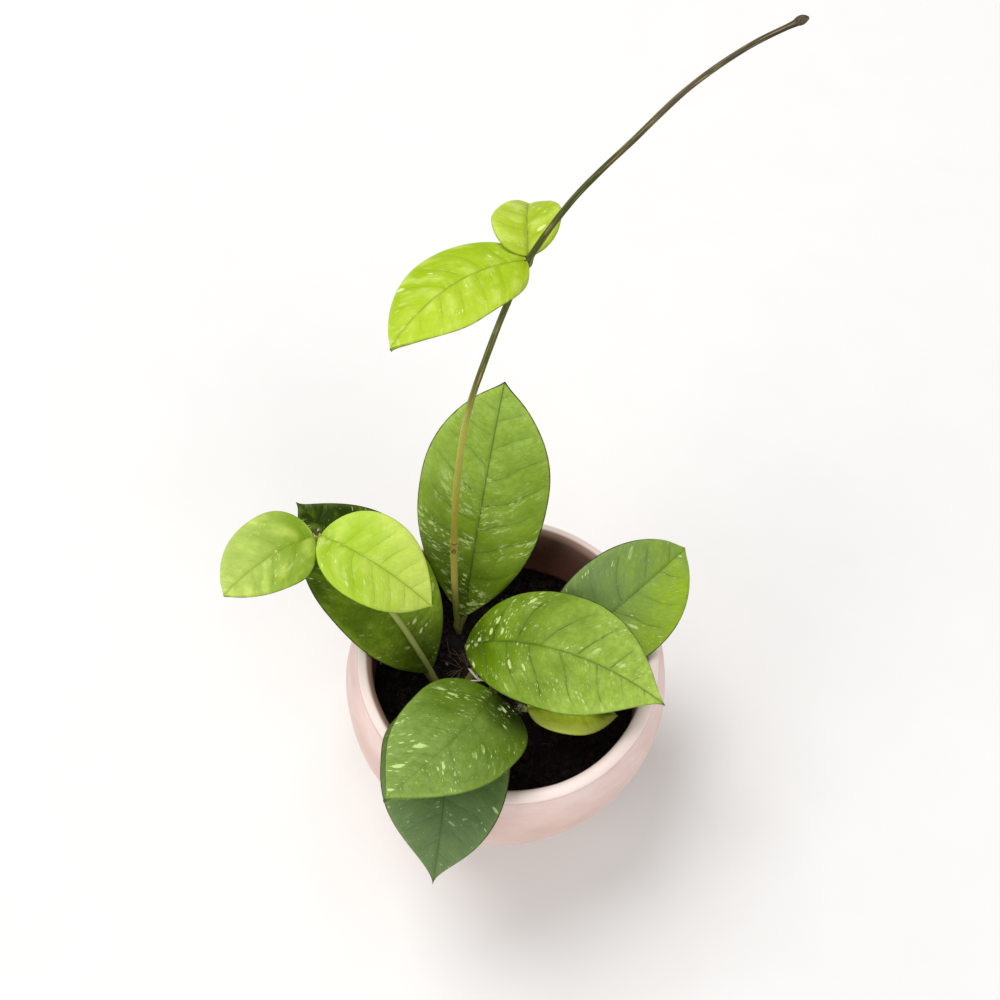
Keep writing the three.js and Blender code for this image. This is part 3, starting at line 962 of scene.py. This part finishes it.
def stem_finish(name, steps, streak):
    """steps pairs a height in millimetres with a colour; streak is the colour of the fibres."""
    finish = Finish(name)
    height = finish.times(finish.split(finish.place())[2], 1 / MM)
    colour = tone(*steps[0][1])
    for (low, _), (high, above) in zip(steps, steps[1:]):
        colour = finish.mix(finish.fade(height, low, high), colour, tone(*above))
    way = finish.field("way")
    fibre = finish.clouds(finish.stretched(way, 1.0, 1.0, 0.05), 2.2, 4.0, 0.6)
    specks = finish.clouds(finish.stretched(way, 1.0, 1.0, 0.7), 3.0, 3.0, 0.6)
    colour = finish.mix(finish.fade(fibre, 0.5, 0.72, 0, 0.55), colour, tone(*streak))
    colour = finish.mix(finish.fade(specks, 0.52, 0.75, 0, 0.5), colour, SPECK)
    finish.relief(finish.times_plus(fibre, 0.7, finish.times(specks, 0.4)), 0.0002, 0.6)
    return finish.surface(colour, finish.fade(specks, 0.3, 0.7, 0.5, 0.7), Specular_IOR_Level=0.25)


wear(stems["vine"], stem_finish("vine_skin", VINE_STEPS, (206, 192, 120)))
wear(stems["left_runner"], stem_finish("runner_skin", RUNNER_STEPS, (206, 212, 138)))
for name in ("middle_stalk", "young_sprout"):
    wear(stems[name], stem_finish(name + "_skin", STALK_STEPS, (140, 142, 86)))
print("finishes for stems:", len(stems))

# %% Dry skin


def dried(piece, name, dark, light):
    """Rough dry skin, in clumps of two colours."""
    finish = Finish(name)
    clumps = finish.clouds(finish.place(), 1400.0, 4.0, 0.65)
    finish.relief(clumps, 0.00015, 0.8)
    colour = finish.mix(finish.fade(clumps, 0.3, 0.7), tone(*dark), tone(*light))
    wear(piece, finish.surface(colour, 0.8))


dried(leaf_scars, "scar_cork", (84, 52, 24), (128, 88, 44))
dried(dry_bracts, "dry_bract", (44, 36, 24), (96, 82, 52))
dried(dry_tip, "dry_hair", (86, 78, 62), (166, 158, 138))
print("finishes for scars, bracts and the dry tip")

# %% [markdown]
# ## The leaves
# A hoya leaf is thick and waxy, 50 to 85 mm long, with a pointed tip, a sunken midrib and side veins that
# leave it nearly square and bend towards the tip. It could be cut from a plane and thickened, but then
# its margin would be a sharp step. A sleeve pressed flat gives a round margin and a ridge under the
# midrib in one closed skin. Each leaf is marched along its midrib from the measured values, turning a
# little at every row as it droops, sweeps and twists, and a smooth line is then drawn through the rows.

# %% Leaf values
MATURE = {
    "rows": 14, "widest": 0.48, "round": 0.6, "belly": 2.5, "taper": 1.4, "stalk": 1.3,
    "spacing": 9.5, "slot": "mature_leaf", "around": 144, "along": 150, "pucker": 0.2, "pinch": 0.3,
}
YOUNG = {
    "rows": 11, "widest": 0.42, "round": 0.58, "belly": 2.3, "taper": 1.2, "stalk": 1.0,
    "spacing": 6.5, "slot": "young_leaf", "around": 112, "along": 110, "pucker": 0.12, "pinch": 0.3,
}


def leaf(kind, base, heading, pitch, roll, length, width, droop, sweep, twist, fold, petiole, **more):
    """All values of one leaf, in millimetres and degrees: those of its kind, then its own."""
    own = {"base": base, "heading": heading, "pitch": pitch, "roll": roll, "length": length}
    own.update(width=width, droop=droop, sweep=sweep, twist=twist, fold=fold, petiole=petiole)
    return {**kind, **own, **more}


LEAVES = {
    # kind, base, heading, pitch, roll, length, width, droop, sweep, twist, fold, the stalk's points
    "back": leaf(
        MATURE, (-15.6, 18.5, 61.9), 85.7, 58.6, -1.3, 86.3, 41.2, 5.3, -2.9, -1.9, 4.9,
        [(-17.4, 17.4, 55), (-16.6, 17.6, 57.5)],
        widest=0.55, round=0.91, taper=0.96, belly=2.53, stalk=1.0,
    ),
    "left": leaf(
        MATURE, (-25.1, -2, 60.4), 131.6, 55.5, 12.5, 73.3, 38, 43.2, 5.8, -4.4, 14.1,
        [LEFT_LOWER, (-24, -2.8, 57)], widest=0.54, round=0.93, taper=1.25, belly=2.4,
    ),
    "right_back": leaf(
        MATURE, (16.2, 3.1, 72.5), 34, 43.3, 22.7, 56.1, 34.9, 53.7, -3.7, 3.2, 14.8,
        [MIDDLE_LOWER, (-2, 2, 61), (8, 1.5, 67)],
        widest=0.46, round=0.59, taper=0.79, belly=2.02,
    ),
    "right_front": leaf(
        MATURE, (-13.7, 0.9, 81), 1.2, 43.7, -2.6, 69.2, 37.7, 59, -30.6, 1.7, -1,
        [MIDDLE_UPPER, (-11.5, 1.8, 72.5), (-12.6, 1.4, 77)], round=0.55, belly=2.33,
    ),
    "front": leaf(
        MATURE, (-3.5, -15, 83.5), 249.9, 36.3, -12.9, 55, 36.5, 28.6, -23.1, 28.6, 1.8,
        [MIDDLE_UPPER, (-7.5, -3, 71), (-4.5, -8.8, 76.5)],
        widest=0.35, round=0.43, taper=1.44, belly=3.3,
    ),
    "hanging": leaf(
        MATURE, (-18.7, -12.1, 72.3), 281.6, 47.3, 2, 67.6, 39.4, 101.2, -25.5, 4.7, 8,
        [MIDDLE_LOWER, (-11.5, -3, 63), (-13, -8, 68.5)],
        widest=0.38, round=0.95, taper=1.93, belly=3.02, pinch=0.0,
    ),
    "young": leaf(
        YOUNG, (7.5, -14.5, 71), 7, 11, -4, 32, 18.5, 49, 2, 0, 7,
        [(5.5, -14.4, 71)], pinch=0.0,
    ),
    "shoot_outer": leaf(
        YOUNG, (-61.3, 15.7, 119), 209.2, 9.4, 1.4, 32, 26.2, 16.6, 25.7, 6.4, 10,
        [LEFT_TOP], widest=0.39, taper=0.85, belly=2.03,
    ),
    "shoot_inner": leaf(
        YOUNG, (-59.3, 16.2, 118.9), 339.9, 7.5, -0.1, 40.9, 27.8, 52.2, -3.1, 5.1, 14.4,
        [LEFT_TOP], widest=0.4, round=0.59, taper=1.09, belly=2.24,
    ),
    "vine_left": leaf(
        YOUNG, (-6.5, 48.8, 216.4), 199.3, 13.9, 13.2, 42.6, 27.5, 41.1, 32.7, 12.8, -1.5,
        [VINE_UPPER], widest=0.45, round=0.47, taper=0.99, belly=2.37, stalk=0.75,
    ),
    "vine_back": leaf(
        YOUNG, (-6.2, 50, 216.9), 102.3, 23.3, -11.6, 28.2, 17.4, 85.8, -6.2, 6.1, 14,
        [VINE_UPPER], widest=0.39, round=0.52, taper=1.36, belly=1.67, stalk=0.75,
    ),
}
print("leaves:", len(LEAVES))

# %% Marching along a leaf


def turned_about(vector, axis, degrees):
    return Matrix.Rotation(math.radians(degrees), 3, axis) @ vector


def midrib(spec):
    """The rows of a leaf: share of its length, middle point, directions across and up."""
    point = Vector(spec["base"])
    heading, pitch = math.radians(spec["heading"]), math.radians(spec["pitch"])
    flat = Vector((math.cos(heading), math.sin(heading), 0)) * math.cos(pitch)
    along = flat + Vector((0, 0, math.sin(pitch)))
    across = turned_about(Vector((-math.sin(heading), math.cos(heading), 0)), along, spec["roll"])
    up = along.cross(across)
    rows, before = [], 0.0
    for i in range(spec["rows"] + 1):
        t = (1 - math.cos(math.pi * i / spec["rows"])) / 2
        step = t - before
        along, up = (turned_about(v, across, spec["droop"] * step) for v in (along, up))
        along, across = (turned_about(v, up, spec["sweep"] * step) for v in (along, across))
        across, up = (turned_about(v, along, spec["twist"] * step) for v in (across, up))
        point = point + along * step * spec["length"]
        rows.append([t, *point, *across, *up])
        before = t
    return np.array(rows)


print("rows in the back leaf:", len(midrib(LEAVES["back"])))

# %% Lines between the rows
BASE_CURVE = 2.2
TIP_REACH = 0.04


def smooth_line(at, knots, values):
    """A natural cubic line through the knots, read at the places wanted."""
    gap = np.diff(knots)[:, None]
    slope = np.diff(values, axis=0) / gap
    size = len(knots)
    bend = np.eye(size)
    want = np.zeros_like(values)
    for i in range(1, size - 1):
        bend[i, i - 1 : i + 2] = gap[i - 1, 0], 2 * (gap[i - 1, 0] + gap[i, 0]), gap[i, 0]
        want[i] = 3 * (slope[i] - slope[i - 1])
    curve = np.linalg.solve(bend, want)
    i = np.clip(np.searchsorted(knots, at) - 1, 0, size - 2)
    rise = slope[i] - gap[i] * (2 * curve[i] + curve[i + 1]) / 3
    cubic = (curve[i + 1] - curve[i]) / (3 * gap[i])
    d = (at - knots[i])[:, None]
    return values[i] + d * (rise + d * (curve[i] + d * cubic))


def half_width(t, spec):
    """The leaf's half-width at shares of its length, in millimetres."""
    widest = spec["widest"]
    low = np.clip((widest - t) / widest, 0, 1) ** BASE_CURVE
    high = np.clip((t - widest) / (1 - widest), 0, 1) ** spec["belly"]
    share = np.where(t < widest, (1 - low) ** spec["round"], (1 - high) ** spec["taper"])
    drawn_out = 1 - spec["pinch"] * np.exp(-(((1 - t) / TIP_REACH) ** 2))
    return spec["width"] / 2 * share * drawn_out


print("half-width of the back leaf:", round(float(half_width(0.5, LEAVES["back"])), 1), "mm")

# %% [markdown]
# ## Relief of a blade
# Three numbers are kept on every point, and the shape and the finish both read them, so grooves and
# dark lines fall together: how far along the side veins a point lies, how far it is off the midrib and
# how far in from the margin. The blade swells softly between its veins and its margin rolls under.

# %% Blade shape
BLADE_MIDDLE = 1.1
BLADE_EDGE = 0.7
END_SPACING = 0.09
MIDRIB_GROOVE = 0.3
MIDRIB_RIDGE = 0.55
VEIN_GROOVE = 0.14
VEIN_SHIFT = 0.42
VEIN_BEND = 0.012
MARGIN_ROLL = 0.55
WAVE = 0.4
SEED_STEP = 31.7


def hump(away, reach):
    """A soft hump, 1 in its middle, that is nearly gone at twice its reach."""
    return np.exp(-((away / reach) ** 2))


def blade(spec, seed):
    """A leaf's blade, with the fields that its finish reads."""
    rows = midrib(spec)
    length, spacing = spec["length"], spec["spacing"]

    def place(u, v):
        t = v - END_SPACING * np.sin(2 * math.pi * v)
        frame = smooth_line(t, rows[:, 0], rows[:, 1:])
        point, across, up = frame[:, :3], frame[:, 3:6], frame[:, 6:]
        across /= np.linalg.norm(across, axis=1)[:, None]
        up /= np.linalg.norm(up, axis=1)[:, None]
        under = (u > 0.5).astype(float)
        s = 1 - np.abs(4 * u - 2)
        q = 0.5 * s + 0.5 * np.sin(math.pi / 2 * s)
        half = half_width(t, spec) * np.where((v < MERGE) | (v > 1 - MERGE), 0.0, 1.0)
        x, y = q * half, t * length
        off, inside = np.abs(x), (1 - np.abs(q)) * half

        # Side veins leave the midrib by turns, left and right, lean towards the tip and wander.
        side = np.where(q > 0, 0.0, VEIN_SHIFT * spacing)
        lean = 0.15 + 0.5 * t
        wobble = 1.3 * np.sin(0.07 * x + 0.15 * y + seed)
        wobble = wobble + 0.4 * np.sin(0.34 * x - 0.21 * y + 2 * seed)
        vein = y - lean * off - VEIN_BEND * off**2 + side + wobble
        to_vein = np.abs((vein / spacing + 0.5) % 1 - 0.5) * spacing

        # The top swells between the veins and sinks along them.
        fade = np.clip(inside / 3, 0, 1) * np.clip(off / 1.2, 0, 1)
        swell = spec["pucker"] * np.sin(math.pi * to_vein / spacing) ** 2 * fade
        groove = VEIN_GROOVE * hump(to_vein, 0.55) * fade
        sunk = MIDRIB_GROOVE * hump(off, 0.6) * np.clip((1 - t) * 3, 0, 1)
        roll = MARGIN_ROLL * np.clip((np.abs(q) - 0.84) / 0.16, 0, 1) ** 2
        wave = WAVE * q**2 * np.sin(3.1 * math.pi * t + seed + 1.3 * np.sign(q))
        rise = off * math.tan(math.radians(spec["fold"])) + swell + wave - roll

        # Top and bottom part by the leaf's thickness and meet at the margin and both ends.
        thick = BLADE_MIDDLE + (BLADE_EDGE - BLADE_MIDDLE) * np.abs(q)
        thick = thick * np.sqrt(np.clip(1 - np.abs(q) ** 12, 0, 1)) * np.where(half > 0, 1, 0)
        ridge = MIDRIB_RIDGE * hump(off, 0.8) * np.sqrt(np.clip(1 - t, 0, 1))
        top = thick / 2 - groove - sunk
        bottom = -thick / 2 - ridge - 0.4 * groove
        body = np.where(half > 0, np.where(under > 0, bottom, top), 0.0)
        points = point + across * x[:, None] + up * (rise + body)[:, None]
        fields = {
            "blade": np.column_stack([x, y, np.full_like(x, SEED_STEP * seed)]),
            "ribs": np.column_stack([vein, off, inside]),
            "underside": under,
        }
        return points, fields

    return sleeve("blade", spec["around"], spec["along"], place)


print("blade: ready")

# %% Leaves and their stalks
PETIOLE_NECK = 0.4
PETIOLE_DROP = 1.0
PETIOLE_END_DROP = 0.8
PETIOLE_RUN = 7.0
PETIOLE_SIDES = 18
PETIOLE_RINGS = 70


def petiole(spec):
    """The leaf's stalk, from inside its stem to where it runs out under the midrib."""
    base, across, up = (Vector(midrib(spec)[0, k : k + 3]) for k in (1, 4, 7))
    along = across.cross(up)
    neck = base + along * PETIOLE_NECK - up * PETIOLE_DROP
    end = base + along * PETIOLE_RUN - up * PETIOLE_END_DROP
    points = [*spec["petiole"], tuple(neck), tuple(end)]
    to_neck = np.linalg.norm(np.array(spec["petiole"][0]) - np.array(neck))
    run = PETIOLE_RUN / (PETIOLE_RUN + to_neck)

    def radius(share, middle):
        joint = 0.22 * hump(share, 0.12)
        under = np.clip((share - 1 + run) / run, 0, 1)
        return spec["stalk"] * (1 + joint - 0.3 * np.clip(4 * under, 0, 1) - 0.45 * under)

    return rod("petiole", points, radius, PETIOLE_SIDES, PETIOLE_RINGS)


leaves = {}
for count, (name, spec) in enumerate(LEAVES.items(), 1):
    made = [blade(spec, count), petiole(spec)]
    for piece in made:
        wear(piece, bpy.data.materials.new(piece.name))
    leaves[name] = hand_over(joined(name + "_leaf", made), spec["slot"], "leaf_" + name)

# %% [markdown]
# ## Leaf finishes
# Old leaves are deep green with silver flecks, dark veins and a thin dark margin. Young ones are lime,
# nearly plain. The flecks are where air lies under the skin: short dashes that follow the side veins,
# in loose clusters. They come from cells of which only some are filled, and noise frays their edges.
# Each leaf has two greens, mixed along and across it as painted shade where it is darker and painted
# sheen where it is paler. Pale patches between the veins and a pale band by the margin are painted light
# too.

# %% Flecks under the skin
FLECK_LAYERS = (
    # across, along, cells to the millimetre, share of cells filled, size of the largest
    (0.45, 1.0, 0.62, 0.45, 0.46),
    (0.6, 1.4, 1.1, 0.36, 0.42),
    (0.7, 1.3, 1.9, 0.24, 0.36),
)


def flecks(f, x, y, vein, seed, look):
    """Air flecks under the skin: ragged dashes along the side veins, in clusters, and dust between."""
    flat = f.combine(x, vein, seed)
    rough = f.times_plus(f.clouds(flat, 1.9, 4.0, 0.7), 1.5, -0.75)
    cluster = f.fade(f.clouds(flat, 0.11, 2.0), look["sparse"], look["sparse"] + 0.16)
    if look["low"]:
        near_base = f.fade(y, 0.7 * look["low"], 0.4 * look["low"], 0.25, 1.0)
        cluster = f.times(cluster, near_base)
    found = 0.0
    for across, along, scale, share, largest in FLECK_LAYERS:
        bent_x = f.times_plus(rough, 0.7, f.times(x, across))
        bent_y = f.times_plus(rough, 0.5, f.times(vein, along))
        cell = f.cells(f.combine(bent_x, bent_y, seed), scale * look["close"])
        chance = f.split(cell["Color"])[0]
        size = f.fade(chance, 1 - share * look["flecks"], 1.0, 0.05, largest)
        shown = f.fade(f.math("SUBTRACT", size, cell["Distance"]), 0.01, 0.06)
        found = f.larger(found, f.times(shown, cluster))
    dust = f.cells(f.combine(f.times(x, 0.8), vein, seed), 1.7)
    size = f.fade(f.split(dust["Color"])[1], 1 - 0.14 * look["flecks"], 1.0, 0.0, 0.3)
    shown = f.fade(f.math("SUBTRACT", size, dust["Distance"]), 0.0, 0.12, 0.0, 0.6)
    return f.larger(found, shown), cluster


print("layers of flecks:", len(FLECK_LAYERS))

# %% Skin of the leaves
MARGIN = tone(20, 22, 8)
SHADE = tone(22, 36, 0)
UNDERSIDE = {"mature_leaf": tone(126, 146, 78), "young_leaf": tone(164, 188, 80)}


def leaf_finish(name, spec, look):
    """The skin of one leaf, from the fields that its blade keeps."""
    f = Finish(name)
    x, y, seed = f.split(f.field("blade"))
    vein, off, inside = f.split(f.field("ribs"))
    under = f.split(f.field("underside"))[0]
    flat = f.combine(x, y, seed)
    bent = f.combine(x, vein, seed)
    # Painted shade and sheen: two greens are mixed along and across the blade, so parts are painted
    # darker as shade and parts paler as sheen, and clouds shift the mix at random.
    lean_along, lean_across, start = look["lean"]
    share = f.times_plus(y, lean_along / spec["length"], start)
    share = f.times_plus(x, 2 * lean_across / spec["width"], share)
    haze = f.clouds(flat, 0.08, 3.0)
    share = f.times_plus(f.math("SUBTRACT", haze, 0.5), look["haze"], share)
    colour = f.mix(f.fade(share, 0.0, 1.0), look["deep"], look["bright"])

    # Between the veins the blade is painted paler in patches, as a painted sheen, over a fine net of
    # small veins.
    half = spec["spacing"] / 2
    to_vein = f.math("PINGPONG", vein, half)
    patch = f.fade(f.clouds(bent, 0.2, 2.0), 0.42, 0.62)
    pale = f.times(f.fade(to_vein, 0.6, half * 0.9, 0.0, look["pale"]), patch)
    colour = f.mix(pale, colour, look["glow"])
    net = f.cells(f.combine(f.times(x, 0.6), vein, seed), 0.55, "DISTANCE_TO_EDGE")["Distance"]
    mesh = f.fade(net, 0.14, 0.0)
    colour = f.mix(f.times(mesh, look["net"]), colour, look["vein"])
    mottle = f.fade(f.clouds(flat, 0.45, 4.0, 0.6), 0.36, 0.66)
    colour = f.mix(f.times(mottle, look["mottle"]), colour, look["deep"])
    # A pale band along the margin is a painted sheen. On the young leaf it is a strong painted light on
    # its lit edge.
    colour = f.mix(f.fade(inside, *look["band"], 0.0, look["edge"]), colour, look["glow"])

    # Side veins and the midrib are thin dark lines in a soft darker band. Some veins hardly show.
    some = f.fade(f.clouds(bent, 0.11, 2.0), 0.3, 0.6, 0.35, 1.0)
    clear = f.times(f.fade(inside, 0.8, 6.0), some)
    band = f.times(f.fade(to_vein, 1.4, 0.0, 0.0, 0.3), clear)
    line = f.times(f.fade(to_vein, look["line"], 0.04), clear)
    veins = f.times(f.larger(band, line), look["veins"])
    fine_rib = f.fade(off, look["line"] + 0.12, 0.1)
    wide_rib = f.fade(off, 1.3, 0.0, 0.0, 0.28)
    rib = f.times(f.larger(fine_rib, wide_rib), look["midrib"])
    colour = f.mix(f.larger(veins, rib), colour, look["vein"])

    # Painted shade: the corner that lies deepest in the plant, under the leaves above, is painted darker
    # than the rest.
    corner_x, corner_y, size, depth = look["shade"]
    spot = f.combine(corner_x, corner_y, seed)
    away = f.add("VectorMath", {0: flat, 1: spot}, operation="DISTANCE").outputs["Value"]
    colour = f.mix(f.fade(away, size, 0.25 * size, 0.0, depth), colour, SHADE)

    # Silver smears and flecks lie along the side veins.
    fleck, cluster = flecks(f, x, y, vein, seed, look)
    smear = f.clouds(f.combine(f.times(x, 0.42), vein, seed), 0.6, 5.0, 0.7)
    smear = f.times(f.fade(smear, 0.53, 0.63, 0.0, look["silver"]), cluster)
    colour = f.mix(smear, colour, look["fleck"])
    free = f.times(f.fade(inside, 0.3, 1.2), f.fade(off, 0.1, 0.7, 0.3, 1.0))
    fleck = f.times(fleck, free)
    colour = f.mix(f.times(fleck, 0.88), colour, look["fleck"])

    # The underside is paler and plain; a thin dark margin runs round both.
    below = f.mix(f.times(mesh, 0.15), UNDERSIDE[spec["slot"]], look["vein"])
    below = f.mix(f.times(line, 0.25), below, look["vein"])
    colour = f.mix(under, colour, below)
    ragged = f.times_plus(f.clouds(flat, 0.5, 3.0), 0.5, inside)
    rim = f.fade(ragged, look["margin"] + 0.45, look["margin"] + 0.15)
    rim = f.times(rim, f.fade(x, -2.0, 2.0, *look["rim"]))
    colour = f.mix(rim, colour, MARGIN)

    # Veins are sunk and flecks stand a little proud; flecks are duller than the wax between.
    grain = f.clouds(flat, 2.2, 3.0, 0.6)
    lumps = f.times_plus(line, -0.5, f.times(grain, 0.25))
    lumps = f.times_plus(mesh, -0.2, lumps)
    f.relief(f.times_plus(fleck, 0.15, lumps), 0.0002, 0.7)
    dull = f.times_plus(fleck, 0.12, f.fade(grain, 0.3, 0.7, 0.4, 0.5))
    return f.surface(colour, dull, Specular_IOR_Level=0.1)


print("leaf skin: ready")

# %% Looks of the leaves


def look(deep, bright, lean, **more):
    """A leaf's look, from its two greens. Mature values stand unless more says otherwise."""
    values = dict(flecks=0.5, sparse=0.42, silver=0.12, net=0.1, veins=0.45, midrib=0.55, line=0.25)
    values.update(pale=0.25, margin=0.22, rim=(0.9, 0.9), mottle=0.3, edge=0.08, close=1.0)
    values.update(haze=0.85, low=0.0, shade=(0.0, 0.0, 14.0, 0.4), band=(2.6, 0.6))
    values.update(vein=tone(44, 62, 4), fleck=tone(206, 224, 146), glow=tone(154, 184, 48))
    values.update(deep=tone(*deep), bright=tone(*bright), lean=lean, **more)
    return values


LIME = dict(
    flecks=0.12, silver=0.3, net=0.07, veins=0.22, midrib=0.5, pale=0.5, margin=0.05,
    rim=(0.5, 0.5), mottle=0.2, shade=(0.0, 0.0, 6.0, 0.1),
    vein=tone(112, 132, 14), fleck=tone(222, 236, 150), glow=tone(206, 226, 104),
)
# On the young leaf the bright green and the wide pale band along its margin are painted light, for the
# light on its lower edge.
SPROUT = {**LIME, "edge": 0.9, "band": (4.0, 1.2), "pale": 0.1, "glow": tone(240, 255, 116)}
# In each look the two greens and their lean paint shade and sheen. shade paints a darker patch where
# leaves above shade the blade, as the front leaf does on the hanging one.
LOOKS = {
    "back": look(
        (108, 138, 4), (156, 186, 80), (0.75, 0.1, 0.16),
        flecks=1.0, silver=0.9, close=0.8, low=86.3, shade=(12.0, 14.0, 28.0, 0.5),
    ),
    "left": look(
        (40, 60, 2), (138, 168, 36), (-1.2, 0.05, 1.1),
        flecks=0.4, veins=0.2, midrib=0.4, shade=(0.0, 0.0, 30.0, 0.7),
    ),
    "right_back": look((122, 148, 84), (150, 182, 30), (0.5, -0.5, 0.2), flecks=0.45, midrib=0.4),
    "right_front": look(
        (96, 126, 0), (178, 208, 92), (1.0, 0.0, -0.05),
        veins=0.6, line=0.4, midrib=0.48, flecks=0.85, rim=(0.3, 0.9), shade=(0.0, 0.0, 15.0, 0.55),
    ),
    "front": look(
        (82, 108, 0), (132, 160, 78), (1.0, -0.1, 0.12),
        pale=0.12, flecks=1.0, veins=0.15, midrib=0.2, rim=(0.9, 0.35), close=0.75,
        shade=(10.0, 0.0, 19.0, 0.95),
    ),
    "hanging": look(
        (80, 104, 50), (104, 128, 82), (2.4, 0.0, -0.9),
        haze=0.2, mottle=0.12, pale=0.06, flecks=0.34, silver=0.08, veins=0.16, midrib=0.3,
        close=1.1, shade=(0.0, 22.0, 22.0, 0.8), fleck=tone(184, 208, 142),
    ),
    "young": look((56, 112, 0), (232, 255, 70), (-0.5, -1.3, 0.7), **SPROUT),
    "shoot_outer": look((120, 152, 24), (178, 200, 96), (1.0, -0.2, 0.05), **LIME),
    "shoot_inner": look((164, 197, 44), (213, 232, 110), (0.6, 0.3, 0.1), **LIME),
    "vine_left": look((152, 182, 8), (180, 206, 52), (0.4, 0.3, 0.3), **LIME),
    "vine_back": look((160, 184, 24), (178, 200, 56), (-0.4, 0.4, 0.6), **LIME),
}
print("looks:", len(LOOKS))

# %% Leaf finishes put on
STALKS = {
    "mature_leaf": ((0, (84, 92, 34)), (1, (118, 122, 52))),
    "young_leaf": ((0, (128, 146, 48)), (1, (160, 176, 74))),
}
for name, spec in LEAVES.items():
    skin = leaf_finish(name + "_skin", spec, LOOKS[name])
    stalk = stem_finish(name + "_petiole", STALKS[spec["slot"]], (170, 172, 96))
    for number, material in enumerate((skin, stalk)):
        leaves[name].data.materials[number] = material
print("leaf finishes:", len(LEAVES))

# %% [markdown]
# ## Sizes
# The sizes of the measured and the dressed plant are printed side by side. The dressed plant has to
# keep the measured size, give or take a millimetre.

# %% Print the sizes
VISUAL_BOX = [list(corner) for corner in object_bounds()]
for title, (least, most) in (("measured", CAD_BOX), ("dressed", VISUAL_BOX)):
    print(title, "size in metres:", [round(b - a, 4) for a, b in zip(least, most)])
